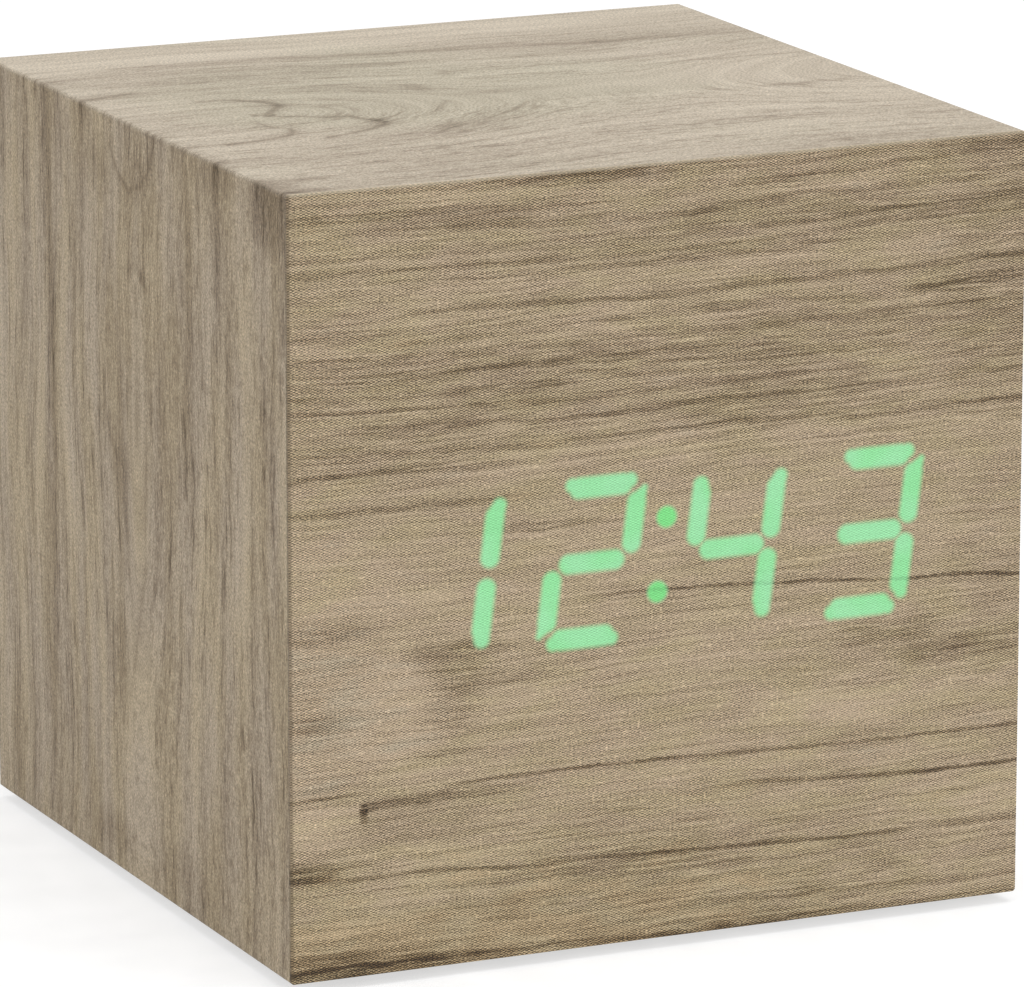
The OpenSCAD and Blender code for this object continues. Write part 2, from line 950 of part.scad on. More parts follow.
module socket_pin() {
    color([0.8, 0.78, 0.7])
        at_panel()
            translate([socket_x, 0, upper_row])
                turned_y([
                    [0, main_rear_y], [socket_pin_r, main_rear_y],
                    [socket_pin_r, panel_y - socket_pin_short - socket_pin_r / 2],
                    [socket_pin_r / 2, panel_y - socket_pin_short], [0, panel_y - socket_pin_short]
                ]);
}

// Main board and what it carries

module main_board() {
    color([0.1, 0.35, 0.2])
        at_panel()
            difference() {
                upright(main_front_y, main_rear_y)
                    square([main_w, main_h], center = true);
                at_bosses()
                    rod_y(screw_r + pin_fit, main_front_y - cut, main_rear_y + cut);
            }
}

module board_screws() {
    color([0.75, 0.75, 0.75])
        at_panel()
            at_bosses()
                translate([0, main_front_y, 0])
                    rotate([90, 0, 0])
                        pan_screw(screw_r, screw_head_r, screw_head_h,
                            pcb_t + board_gap - cut - pin_fit);
}

module on_main_board(x, z) {
    translate([x, main_front_y, panel_z + z])
        rotate([90, 0, 0])
            children();
}

module controller_chip() {
    color([0.1, 0.1, 0.1])
        on_main_board(0, chip_z) {
            chip(chip_w, chip_w, chip_pins, chip_pin_pitch);
            rotate(90)
                chip(chip_w, chip_w, chip_pins, chip_pin_pitch);
        }
}

module crystal() {
    color([0.8, 0.8, 0.82])
        on_main_board(crystal_x, crystal_z)
            translate([-crystal_l / 2, 0, crystal_r])
                rotate([0, 90, 0])
                    cylinder(r = crystal_r, h = crystal_l);
}

module buzzer() {
    color([0.09, 0.09, 0.09])
        at_panel()
            translate([0, 0, -lower_row])
                difference() {
                    rod_y(buzzer_r, main_rear_y, main_rear_y + buzzer_h);
                    rod_y(buzzer_hole_r, main_rear_y + buzzer_h / 2, main_rear_y + buzzer_h + cut);
                }
}

module microphone() {
    color([0.78, 0.78, 0.8])
        at_panel()
            translate([microphone_x, 0, -lower_row]) {
                rod_y(microphone_r, panel_back_y - microphone_h, panel_back_y);
                for (side = [-1, 1])
                    translate([side * microphone_r / 2, 0, 0])
                        rod_y(lead_r, main_rear_y, panel_back_y - microphone_h + cut / 2);
            }
}

module temperature_sensor() {
    color([0.15, 0.15, 0.16])
        on_main_board(sensor_x, 0) {
            translate([0, 0, sensor_rise])
                sphere(sensor_r);
            for (side = [-1, 1])
                translate([side * sensor_lead_x, 0, 0])
                    cylinder(r = lead_r, h = sensor_rise);
        }
}

module capacitors() {
    color([0.12, 0.14, 0.3])
        for (x = capacitor_x)
            on_main_board(x, capacitor_z)
                rotate_extrude()
                    polygon([
                        [0, 0], [capacitor_r, 0], [capacitor_r, capacitor_h - lead_r],
                        [capacitor_r - lead_r, capacitor_h], [0, capacitor_h]
                    ]);
}

module coin_holder() {
    color([0.12, 0.12, 0.13])
        on_main_board(coin_x, 0)
            difference() {
                cylinder(r = coin_d / 2 + slip + holder_wall, h = holder_base + coin_t);
                translate([0, 0, holder_base])
                    cylinder(r = coin_d / 2 + slip, h = coin_t + cut);
                translate([-holder_gap_w / 2, 0, holder_base])
                    cube([holder_gap_w, coin_d, coin_t + cut]);
            }
}

module coin_cell() {
    color([0.82, 0.82, 0.84])
        on_main_board(coin_x, 0)
            translate([0, 0, holder_base])
                rotate_extrude()
                    polygon([
                        [0, 0], [coin_d / 2 - 3 * slip, 0], [coin_d / 2, 3 * slip],
                        [coin_d / 2, coin_t], [0, coin_t]
                    ]);
}

// Battery compartment

function cell_y(i) = (i - (cells_across - 1) / 2) * cell_pitch;
// The button end of a cell points to -X on even places and to +X on odd ones
function cell_turn(i) = i % 2 == 0 ? 1 : -1;
plate_x = tub_l / 2 - plate_t;
cell_from = -plate_x + plate_play;
spring_from = cell_from + cell_l;

module at_hinges() {
    for (side = [-1, 1])
        translate([side * hinge_x, hinge_y, hinge_z])
            children();
}

module rod_x(r, l) {
    translate([-l / 2, 0, 0])
        rotate([0, 90, 0])
            cylinder(r = r, h = l);
}

module battery_box() {
    slot_y0 = hinge_y - knuckle_r - knuckle_room;
    slot_y1 = -recess_w / 2 + cut;
    color([0.13, 0.13, 0.14])
        difference() {
            union() {
                level(base_z, floor_z)
                    square([collar_l, collar_w], center = true);
                level(floor_z, floor_z + box_flange_t)
                    square([collar_l, collar_w + 2 * box_ear], center = true);
                level(floor_z, roof_z)
                    square([tub_l + 2 * box_wall, tub_w + 2 * box_wall], center = true);
            }
            difference() {
                level(base_z - cut, roof_z - box_wall)
                    square([tub_l, tub_w], center = true);
                for (i = [0 : cells_across - 2])
                    translate([0, (cell_y(i) + cell_y(i + 1)) / 2, 0])
                        level(roof_z - box_wall - separator_h, roof_z)
                            square([rib_l, separator_w], center = true);
            }
            level(base_z - cut, ledge_z)
                rounded_rect(recess_l, recess_w, door_corner_r);
            at_hinges() {
                translate([-knuckle_w / 2 - slip, slot_y0 - hinge_y, base_z - cut - hinge_z])
                    cube([knuckle_w + 2 * slip, slot_y1 - slot_y0,
                        hinge_z - base_z + cut + knuckle_r + knuckle_room]);
                rod_x(hinge_pin_r + pin_fit, knuckle_w + 2 * hinge_pin_l + 2 * slip);
            }
            // The edge beside the hinges is rounded about their axis, so the door's edge passes it
            translate([0, hinge_y, hinge_z])
                difference() {
                    translate([-recess_l / 2, 0, -swing_r - cut])
                        cube([recess_l, hinge_back + cut, swing_r + cut]);
                    rod_x(swing_r, recess_l + 2 * cut);
                }
            level(base_z - cut, ledge_z)
                translate([0, recess_w / 2])
                    circle(notch_r);
            at_box_screws()
                translate([0, 0, -cut])
                    cylinder(r = screw_r + pin_fit, h = box_flange_t + 2 * cut);
            for (end = [-1, 1])
                translate([end * (plate_x + plate_t / 2), cell_y(end < 0 ? 0 : cells_across - 1), 0])
                    level(roof_z - box_wall - cut, roof_z + cut)
                        square([plate_t + 2 * tab_play, tab_w + 2 * tab_play], center = true);
        }
}

module box_screws() {
    color([0.75, 0.75, 0.75])
        at_box_screws()
            translate([0, 0, box_flange_t])
                pan_screw(screw_r, screw_head_r, screw_head_h, box_flange_t + board_screw_bite - pin_fit);
}

module battery_door() {
    color([0.13, 0.13, 0.14])
        difference() {
            union() {
                level(door_z, door_top_z)
                    rounded_rect(door_l, door_w, door_corner_r);
                for (i = [0 : cells_across - 2])
                    translate([0, (cell_y(i) + cell_y(i + 1)) / 2, 0])
                        level(door_z, door_top_z + rib_h)
                            square([rib_l, rib_w], center = true);
                at_hinges() {
                    rod_x(knuckle_r, knuckle_w);
                    rod_x(hinge_pin_r, knuckle_w + 2 * hinge_pin_l);
                    translate([-knuckle_w / 2, 0, -knuckle_r])
                        cube([knuckle_w, -door_w / 2 - hinge_y + cut, knuckle_r]);
                }
                for (side = [-1, 1])
                    translate([side * latch_x - latch_l / 2, 0, door_top_z - door_t / 2])
                        cube([latch_l, door_w / 2 + latch_bite, door_t / 2]);
            }
            for (i = [0 : grip_count - 1])
                translate([-grip_l / 2, door_w / 2 - 2 - i * grip_pitch - grip_w, door_z - cut])
                    cube([grip_l, grip_w, grip_depth + cut]);
        }
}

module cells() {
    can_r = cell_d / 2;
    rim = 0.6;
    color([0.35, 0.36, 0.38])
        for (i = [0 : cells_across - 1])
            translate([0, cell_y(i), cell_z])
                rotate([0, 0, cell_turn(i) > 0 ? 0 : 180])
                    translate([cell_from, 0, 0])
                        rotate([0, 90, 0])
                            rotate_extrude()
                                polygon([
                                    [0, 0], [cell_button_r, 0], [cell_button_r, cell_button_h],
                                    [can_r - rim, cell_button_h], [can_r, cell_button_h + rim],
                                    [can_r, cell_l - rim], [can_r - rim, cell_l], [0, cell_l]
                                ]);
}

// A contact plate that reaches across the cells from one place to another, against an end wall
module contact_plate(end, from, to, tab) {
    low = ledge_z + cell_rest;
    high = roof_z - box_wall - cell_head;
    margin = cell_gap;
    x = end < 0 ? -tub_l / 2 : plate_x;
    translate([x, cell_y(from) - cell_d / 2 + margin, low])
        cube([plate_t, cell_y(to) - cell_y(from) + cell_d - 2 * margin, high - low]);
    if (tab)
        translate([x, cell_y(from) - tab_w / 2, cell_z])
            cube([plate_t, tab_w, roof_z + tab_rise - cell_z]);
}

module contact_plates() {
    color([0.8, 0.8, 0.78]) {
        contact_plate(-1, 0, 0, true);
        contact_plate(-1, 1, 2, false);
        contact_plate(1, 0, 1, false);
        contact_plate(1, 2, 2, true);
    }
}

// A tube along a path: each ring stands square to the path, turned by a side vector of its own
function tangent(path, i) =
    unit(path[min(i + 1, len(path) - 1)] - path[max(i - 1, 0)]);
function ring(middle, along, side, r, sides) =
    let (
        out = unit(side - (side * along) * along),
        up = cross(along, out)
    )
    [for (k = [0 : sides - 1])
        middle + r * (cos(360 * k / sides) * out + sin(360 * k / sides) * up)];
function tube_points(path, towards, r, sides) =
    [for (i = [0 : len(path) - 1]) each ring(path[i], tangent(path, i), towards[i], r, sides)];
function tube_faces(rings, sides) =
    concat(
        [for (k = [1 : sides - 2]) [0, k, k + 1]],
        [for (i = [0 : rings - 2], k = [0 : sides - 1])
            let (a = i * sides + k, b = i * sides + (k + 1) % sides)
            each [[a, a + sides, b], [b, a + sides, b + sides]]],
        [for (k = [1 : sides - 2])
            let (last = (rings - 1) * sides)
            [last, last + k + 1, last + k]]
    );
module tube(path, towards, r, sides) {
    polyhedron(tube_points(path, towards, r, sides), tube_faces(len(path), sides));
}

// Contact spring: a cone of turns that starts square to its plate and ends square to its cell
spring_rings = spring_turns * rings_per_turn;
spring_rise = spring_l - 4 * spring_wire_r;
function spring_out(t) = [0, cos(360 * spring_turns * t), sin(360 * spring_turns * t)];
function spring_point(t) =
    [2 * spring_wire_r + spring_rise * t, 0, 0]
    + (spring_wide_r + (spring_narrow_r - spring_wide_r) * t) * spring_out(t);
spring_path = concat(
    [spring_wide_r * spring_out(0)],
    [for (i = [0 : spring_rings]) spring_point(i / spring_rings)],
    [[spring_l, 0, 0] + spring_narrow_r * spring_out(1)]
);
spring_sides_out = concat(
    [spring_out(0)],
    [for (i = [0 : spring_rings]) spring_out(i / spring_rings)],
    [spring_out(1)]
);
spring_least_gap = min([
    for (i = [0 : spring_rings - rings_per_turn / 2], j = [i + rings_per_turn / 2 : spring_rings])
        norm(spring_point(i / spring_rings) - spring_point(j / spring_rings)) - 2 * spring_wire_r
]);
echo(least_gap_between_spring_turns = spring_least_gap);

module contact_springs() {
    color([0.82, 0.82, 0.8])
        for (i = [0 : cells_across - 1])
            translate([0, cell_y(i), cell_z])
                rotate([0, 0, cell_turn(i) > 0 ? 180 : 0])
                    translate([-plate_x, 0, 0])
                        tube(spring_path, spring_sides_out, spring_wire_r, spring_sides);
}

// Battery leads: from the tabs on the roof of the box to the foot of the main board
function spline(a, b, c, d, t) =
    0.5 * (2 * b + (c - a) * t + (2 * a - 5 * b + 4 * c - d) * t * t
        + (3 * b - a - 3 * c + d) * t * t * t);
function smooth(points) =
    let (n = len(points))
    concat(
        [for (i = [0 : n - 2], k = [0 : lead_steps - 1])
            spline(points[max(i - 1, 0)], points[i], points[i + 1], points[min(i + 2, n - 1)],
                k / lead_steps)],
        [points[n - 1]]
    );
function lead_path(from, along, bends, to) =
    concat(
        [from],
        smooth(concat([from + along * lead_straight], bends, [to - [0, lead_straight, 0]])),
        [to]
    );
red_path = lead_path(
    [-plate_x, cell_y(0), roof_z + tab_rise / 2], [1, 0, 0], red_bends,
    [pad_x[0], main_front_y, pad_z]);
black_path = lead_path(
    [plate_x, cell_y(cells_across - 1), roof_z + tab_rise / 2], [-1, 0, 0], black_bends,
    [pad_x[1], main_front_y, pad_z]);

module lead(path) {
    tube(path, [for (p = path) [0, 0, 1]], lead_wire_r, lead_sides);
}

module red_lead() {
    color([0.75, 0.1, 0.1])
        lead(red_path);
}

module black_lead() {
    color([0.08, 0.08, 0.08])
        lead(black_path);
}

wrap_film();
front_film();
front_board();
top_board();
bottom_board();
left_board();
right_board();
rear_panel();
feet();
reflector();
lit_lenses();
dark_lenses();
segment_leds();
display_board();
display_screws();
driver_chip();
display_header();
ribbon_cable();
main_header();
control_panel();
panel_screws();
set_button();
up_button();
down_button();
set_plunger();
up_plunger();
down_plunger();
switch_bodies();
sound_knob();
sound_switch_body();
power_socket();
socket_pin();
main_board();
board_screws();
controller_chip();
crystal();
buzzer();
microphone();
temperature_sensor();
capacitors();
coin_holder();
coin_cell();
battery_box();
box_screws();
battery_door();
cells();
contact_plates();
contact_springs();
red_lead();
black_lead();
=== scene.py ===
"""Looks of a cube-shaped alarm clock: wood-print film, glowing numerals, plastic, metal and boards."""

import math
from functools import reduce

import bmesh
import bpy
from mathutils import Matrix, Vector


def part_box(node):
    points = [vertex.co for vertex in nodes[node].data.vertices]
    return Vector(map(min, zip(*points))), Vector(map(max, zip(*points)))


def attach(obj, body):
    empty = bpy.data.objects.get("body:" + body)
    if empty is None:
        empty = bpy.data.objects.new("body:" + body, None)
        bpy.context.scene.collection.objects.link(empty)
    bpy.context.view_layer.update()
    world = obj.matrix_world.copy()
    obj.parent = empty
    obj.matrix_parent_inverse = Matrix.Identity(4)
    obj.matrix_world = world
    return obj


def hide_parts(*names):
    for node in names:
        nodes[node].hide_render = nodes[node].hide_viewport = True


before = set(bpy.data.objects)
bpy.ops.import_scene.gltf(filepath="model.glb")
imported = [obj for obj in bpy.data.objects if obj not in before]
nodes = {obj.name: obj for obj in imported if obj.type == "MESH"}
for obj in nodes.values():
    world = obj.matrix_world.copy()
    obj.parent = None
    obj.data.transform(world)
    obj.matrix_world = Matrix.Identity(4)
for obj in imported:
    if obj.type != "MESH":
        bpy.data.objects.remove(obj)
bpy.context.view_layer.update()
scene = bpy.context.scene
scene.view_settings.view_transform = "Standard"

# Sizes of the model in millimetres, as in the part's source
HALF_W = 34.0
TOP_Z = 68.0
DISPLAY_Z = 34.5
DIGIT_PITCH = 13.0
DIGIT_W = 7.0
DIGIT_H = 12.9
SEG_W = 1.85
SLANT = math.radians(7.5)
DOT_R = 1.0
DOT_PITCH = 6.4
CELLS = 3
CELL_PITCH = 11.2
CELL_Z = 8.55
PLATE_X = 24.375
SPRING_L = 4.2
SPRING_TURNS = 3
SPRING_WIRE_R = 0.3
SPRING_WIDE_R = 3.4
SPRING_NARROW_R = 2.4
LEAD_R = 0.6
LEAD_STRAIGHT = 1.5
TAB_Z = 16.7
RED_PAD_X = 4.0
BLACK_PAD_X = 8.0
PAD_Y = 21.4
PAD_Z = 21.5
RIBBON_W = 10.0
RIBBON_WIRES = 11
RIBBON_SAG = 5.0
RIBBON_SEAT = 4.0
RIBBON_Z = (41.5, 39.4)
# Steps along each turn of a spring, each bend of a lead and the ribbon's curve
TURN_STEPS = 24
LEAD_STEPS = 10
RIBBON_STEPS = 40


def linear(red, green, blue):
    """A display colour from 0 to 255 as the shader's linear colour."""
    out = []
    for value in (red, green, blue):
        value /= 255
        out.append(value / 12.92 if value <= 0.04045 else ((value + 0.055) / 1.055) ** 2.4)
    return (*out, 1.0)


class Num:
    """A number that a material works out at each point, with ordinary arithmetic."""

    def __init__(self, tree, socket):
        self.tree = tree
        self.socket = socket

    def math(self, operation, *values):
        node = self.tree.nodes.new("ShaderNodeMath")
        node.operation = operation
        for socket, value in zip(node.inputs, values):
            feed(self.tree, socket, value)
        return Num(self.tree, node.outputs[0])

    def __add__(self, other):
        return self.math("ADD", self, other)

    def __radd__(self, other):
        return self.math("ADD", self, other)

    def __sub__(self, other):
        return self.math("SUBTRACT", self, other)

    def __rsub__(self, other):
        return self.math("SUBTRACT", other, self)

    def __mul__(self, other):
        return self.math("MULTIPLY", self, other)

    def __rmul__(self, other):
        return self.math("MULTIPLY", self, other)

    def __abs__(self):
        return self.math("ABSOLUTE", self)

    def sign(self):
        return self.math("SIGN", self)

    def sine(self):
        return self.math("SINE", self)

    def most(self, other):
        return self.math("MAXIMUM", self, other)

    def least(self, other):
        return self.math("MINIMUM", self, other)

    def within(self):
        """Held between 0 and 1."""
        return self.most(0.0).least(1.0)


def feed(tree, socket, value):
    if isinstance(value, Num):
        tree.links.new(value.socket, socket)
    else:
        socket.default_value = value


def new_material(name):
    material = bpy.data.materials.new(name)
    material.use_nodes = True
    return material, material.node_tree, material.node_tree.nodes["Principled BSDF"]


def place_mm(tree):
    """The point's place in the model's frame, as three numbers in millimetres."""
    coordinates = tree.nodes.new("ShaderNodeTexCoord")
    scale = tree.nodes.new("ShaderNodeVectorMath")
    scale.operation = "SCALE"
    scale.inputs["Scale"].default_value = 1000
    tree.links.new(coordinates.outputs["Object"], scale.inputs[0])
    split = tree.nodes.new("ShaderNodeSeparateXYZ")
    tree.links.new(scale.outputs[0], split.inputs[0])
    return [Num(tree, output) for output in split.outputs]


def joined(tree, *values):
    """A vector of up to three numbers."""
    node = tree.nodes.new("ShaderNodeCombineXYZ")
    for socket, value in zip(node.inputs, values):
        feed(tree, socket, value)
    return Num(tree, node.outputs[0])


def vector(operation, first, second, output=0):
    tree = first.tree
    node = tree.nodes.new("ShaderNodeVectorMath")
    node.operation = operation
    tree.links.new(first.socket, node.inputs[0])
    if operation == "SCALE":
        feed(tree, node.inputs["Scale"], second)
    elif second is not None:
        feed(tree, node.inputs[1], second)
    return Num(tree, node.outputs[output])


def stretched(run, share):
    """A fixed vector times a number."""
    node = share.tree.nodes.new("ShaderNodeVectorMath")
    node.operation = "SCALE"
    node.inputs[0].default_value = run
    feed(share.tree, node.inputs["Scale"], share)
    return Num(share.tree, node.outputs[0])


def noise(*place, detail=2.0, roughness=0.5):
    """Smooth noise about 0.5 at a place of two or three numbers."""
    tree = place[0].tree
    node = tree.nodes.new("ShaderNodeTexNoise")
    node.noise_dimensions = "2D" if len(place) == 2 else "3D"
    tree.links.new(joined(tree, *place).socket, node.inputs["Vector"])
    node.inputs["Scale"].default_value = 1.0
    node.inputs["Detail"].default_value = detail
    node.inputs["Roughness"].default_value = roughness
    return Num(tree, node.outputs[0])


def ramp(value, low, high):
    """0 at low, 1 at high and a smooth rise between, or a fall where low is above high."""
    node = value.tree.nodes.new("ShaderNodeMapRange")
    node.interpolation_type = "SMOOTHSTEP"
    node.clamp = False
    feed(value.tree, node.inputs["Value"], value)
    node.inputs["From Min"].default_value = low
    node.inputs["From Max"].default_value = high
    return Num(value.tree, node.outputs[0])


def line_through(value, stations):
    """A smooth line through stations of (place, height), level beyond its ends."""
    tree = value.tree
    first, last = stations[0][0], stations[-1][0]
    low = min(height for _, height in stations)
    high = max(height for _, height in stations)
    span = (high - low) or 1.0
    share = ((value - first) * (1 / (last - first))).within()
    node = tree.nodes.new("ShaderNodeFloatCurve")
    points = node.mapping.curves[0].points
    spots = [((place - first) / (last - first), (height - low) / span) for place, height in stations]
    points[0].location = spots[0]
    points[1].location = spots[-1]
    for spot in spots[1:-1]:
        points.new(*spot)
    node.mapping.update()
    tree.links.new(share.socket, node.inputs["Value"])
    return Num(tree, node.outputs[0]) * span + low


def shades(value, stops):
    """A colour that runs through stops of (place, display colour)."""
    node = value.tree.nodes.new("ShaderNodeValToRGB")
    ramp_stops = node.color_ramp.elements
    while len(ramp_stops) < len(stops):
        ramp_stops.new(0.5)
    for stop, (place, colour) in zip(ramp_stops, stops):
        stop.position = place
        stop.color = linear(*colour)
    value.tree.links.new(value.socket, node.inputs["Fac"])
    return Num(value.tree, node.outputs["Color"])


def blended(share, first, second):
    """A mix of two colours, from the first at 0 to the second at 1."""
    tree = share.tree
    node = tree.nodes.new("ShaderNodeMix")
    node.data_type = "RGBA"
    tree.links.new(share.socket, node.inputs["Factor"])
    feed(tree, node.inputs[6], first)
    feed(tree, node.inputs[7], second)
    return Num(tree, node.outputs[2])


def bump(tree, shader, height, depth_mm, strength=1.0):
    """Raises the surface by height, which runs from 0 to 1 over depth_mm."""
    node = tree.nodes.new("ShaderNodeBump")
    node.inputs["Distance"].default_value = depth_mm / 1000
    node.inputs["Strength"].default_value = strength
    tree.links.new(height.socket, node.inputs["Height"])
    tree.links.new(node.outputs[0], shader.inputs["Normal"])


def stroke(across, along, width, stations):
    """A dark stroke along stations of (place, level, strength), which fades across its width."""
    level = line_through(along, [(place, height) for place, height, _ in stations])
    strength = line_through(along, [(place, amount) for place, _, amount in stations])
    off = (across - level) * (1 / width)
    return (1.0 - off * off).most(0.0) * strength


def patch(place, middle, reach, strength):
    """A soft dark oval."""
    off = vector("SUBTRACT", place, (*middle, 0.0))
    off = vector("MULTIPLY", off, (1 / reach[0], 1 / reach[1], 0.0))
    inside = 1.0 - vector("DOT_PRODUCT", off, off, 1)
    return inside.most(0.0) * strength


def run_gap(place, start, end, reach=0.0, end_reach=None):
    """Distance from a straight run between two points, less its reach, which may change towards its end."""
    run = (end[0] - start[0], end[1] - start[1], 0.0)
    length = run[0] ** 2 + run[1] ** 2
    off = vector("SUBTRACT", place, (*start, 0.0))
    share = vector("DOT_PRODUCT", off, (run[0] / length, run[1] / length, 0.0), 1).within()
    gap = vector("DISTANCE", off, stretched(run, share), 1)
    if end_reach is None:
        return gap - reach if reach else gap
    return gap - (share * (end_reach - reach) + reach)


def nearest(gaps):
    """The least of some distances, each merged as soon as it is made."""
    return reduce(Num.least, gaps)


def ring_line(place, ragged, width, strength, stations):
    """A dark line with a soft shade beside it, along straight runs. Ragged thins it unevenly."""
    gap = nearest(run_gap(place, start, end) for start, end in zip(stations, stations[1:]))
    line = ramp(gap + ragged, width, 0.0) * (strength * 0.7)
    return line + ramp(gap, width * 3.5, 0.0) * (strength * 0.3)


def darkest(marks):
    """The darkest of some marks, each merged as soon as it is made."""
    return reduce(Num.most, marks)


# Front film: places run from its upper left corner, to the right and down
FRONT_STROKES = [
    (0.50, [(0, 2.3, 0.5), (9, 2.4, 0.6), (20, 2.6, 0.3), (30, 2.6, 0)]),
    (0.45, [(40, 2.4, 0), (46, 2.1, 0.6), (51, 2.0, 0.5), (58, 1.5, 0.5), (68, 1.0, 0.6)]),
    (0.55, [(3, 3.8, 0), (10, 3.8, 0.4), (18, 3.9, 0.5), (26, 4.3, 0.4), (36, 4.4, 0.6), (43, 4.1, 0.7),
            (47, 4.2, 0.2), (55, 3.6, 0.2), (68, 2.9, 0.5)]),
    (0.35, [(0, 5.7, 0.5), (6, 5.6, 0.3), (12, 6.0, 0.5), (19, 6.0, 0.2), (34, 6.2, 0.2),
            (44, 6.0, 0.5), (54, 5.7, 0.6), (68, 5.2, 0.3)]),
    (0.35, [(0, 6.8, 0.4), (14, 7.2, 0.4), (28, 7.5, 0.2), (42, 7.3, 0.4), (50, 7.0, 0.6),
            (58, 6.6, 0.5), (68, 6.5, 0.2)]),
    (0.30, [(7, 8.0, 0), (14, 8.2, 0.6), (24, 8.2, 0.4), (34, 8.4, 0.6), (44, 8.2, 0.5), (54, 8.0, 0)]),
    (0.40, [(2, 10.4, 0), (10, 10.6, 0.4), (18, 10.7, 0.5), (27, 11.1, 0.7), (35, 11.2, 0.6),
            (42, 10.9, 0.5), (52, 10.8, 0.6), (60, 10.8, 0.5), (64, 10.5, 0.8), (68, 10.6, 0.7)]),
    (0.45, [(0, 12.2, 0.2), (4, 12.3, 0.5), (10, 12.5, 0.3), (20, 13.0, 0.2), (38, 12.8, 0.3),
            (52, 12.7, 0.2), (60, 12.6, 0.6), (68, 12.2, 0.4)]),
    (0.32, [(0, 14.0, 0.3), (10, 14.4, 0.5), (22, 14.7, 0.4), (36, 14.6, 0.1), (48, 14.5, 0.5),
            (60, 14.2, 0.5), (68, 14.3, 0.2)]),
    (0.40, [(2, 15.5, 0), (10, 15.8, 0.4), (22, 16.0, 0.5), (36, 15.8, 0.3), (46, 16.1, 0)]),
    (0.32, [(0, 17.1, 0.4), (8, 17.6, 0.6), (20, 17.8, 0.5), (30, 17.8, 0.3), (48, 17.4, 0.3),
            (60, 17.8, 0)]),
    (0.32, [(0, 18.4, 0.5), (10, 18.8, 0.6), (20, 19.1, 0.6), (28, 19.4, 0.4), (42, 19.2, 0.3),
            (54, 19.0, 0)]),
    (0.35, [(4, 20.3, 0), (10, 20.4, 0.5), (18, 20.6, 0.5), (28, 21.0, 0.7), (38, 20.6, 0.5),
            (50, 20.8, 0.4), (68, 20.6, 0.3)]),
    (0.40, [(0, 21.8, 0.3), (7, 22.3, 0.5), (14, 22.6, 0.4), (22, 22.9, 0.5), (34, 22.8, 0.4),
            (46, 22.8, 0.6), (54, 23.2, 0.6), (68, 23.1, 0.5)]),
    (0.30, [(0, 24.2, 0.7), (5, 23.9, 0.8), (10, 24.0, 0.7), (16, 24.2, 0.5), (24, 24.2, 0.2),
            (36, 24.4, 0)]),
    (0.45, [(0, 27.0, 0.5), (8, 27.1, 0.4), (16, 27.2, 0.5), (20, 27.2, 0)]),
    (0.24, [(26, 36.4, 0), (31, 36.4, 0.5), (36, 36.6, 0.7), (44, 37.0, 0.8), (50, 37.4, 0.9),
            (56, 37.9, 1), (62, 38.1, 1), (68, 38.7, 0.9)]),
    (0.26, [(0, 51.4, 0.6), (3, 51.3, 0.6), (6, 51.2, 0.4), (8, 51.3, 0)]),
    (0.50, [(6.2, 52.5, 0), (6.8, 52.4, 1), (9, 52.3, 0.9), (14, 52.2, 0.6), (18, 52.2, 0.4),
            (23, 52.3, 0)]),
    (0.24, [(14, 51.6, 0), (18, 51.3, 0.6), (26, 51.2, 0.8), (33, 51.3, 0.9), (40, 51.5, 0.7),
            (46, 51.7, 0.6), (56, 51.9, 0.7), (68, 51.9, 0.7)]),
    (0.28, [(40, 54.2, 0), (47, 54.6, 0.5), (54, 55.0, 0.8), (60, 55.2, 0.9), (68, 55.2, 0.8)]),
    (0.30, [(0, 58.2, 0.7), (4, 58.4, 0.5), (9, 58.6, 0.4), (16, 58.8, 0.7), (21, 59.2, 0.8),
            (26, 59.1, 0.6), (31, 59.4, 0.8), (38, 59.7, 0.7), (44, 59.9, 0.8), (50, 60.1, 0.8),
            (58, 60.2, 0.4), (68, 60.3, 0.4)]),
    (0.35, [(38, 64.4, 0), (46, 64.7, 0.4), (56, 64.9, 0.4), (68, 65.2, 0.5)]),
    (0.35, [(0, 66.2, 0.8), (10, 66.2, 0.6), (20, 66.3, 0.5), (30, 66.6, 0.5), (40, 66.8, 0.4),
            (52, 66.8, 0)]),
]
FRONT_PATCHES = [
    ((27, 0.5), (10, 0.9), 0.6), ((6.4, 53.1), (0.5, 1.2), 1.2), ((1.2, 57.6), (4.0, 1.2), 1.1),
    ((26, 60.2), (16, 1.0), 0.35), ((56, 42.5), (7, 1.7), 0.6), ((62, 44.5), (9, 1.5), 0.6),
    ((53, 46.8), (5, 0.7), 0.4), ((64, 49.5), (5, 0.5), 0.3), ((3, 37.3), (6, 1.0), 0.5),
    ((2, 44.9), (4, 0.9), 0.4), ((15, 39.9), (6, 1.2), 0.55), ((17, 42.6), (7, 0.7), 0.4),
    ((24, 30.0), (8, 0.6), 0.45), ((61, 12.8), (5, 1.0), 0.4), ((14, 45.5), (4, 0.7), 0.35),
    ((4, 65.2), (9, 0.8), 0.6), ((14, 48.4), (4, 0.6), 0.35), ((40, 61.2), (16, 1.0), 0.25),
    ((14.5, 43.4), (3.4, 4.6), 0.5), ((8, 66.4), (15, 1.2), 0.8), ((46, 67.0), (26, 0.7), 0.6),
    ((30, 16), (40, 2.4), 0.25), ((41, 20.5), (17, 4.5), 0.25), ((67, 12), (9, 14), 0.3),
    ((67, 40), (8, 14), 0.3),
]
FRONT_PALE = [
    ((2, 53.8), (5, 2.4), 1.0), ((9, 44), (7, 5), 0.6), ((50, 48), (9, 3), 0.6),
    ((38, 44), (9, 3), 0.4), ((62, 62.5), (7, 2), 0.6), ((6, 34), (8, 3), 0.3), ((62, 58), (9, 2), 0.4),
]
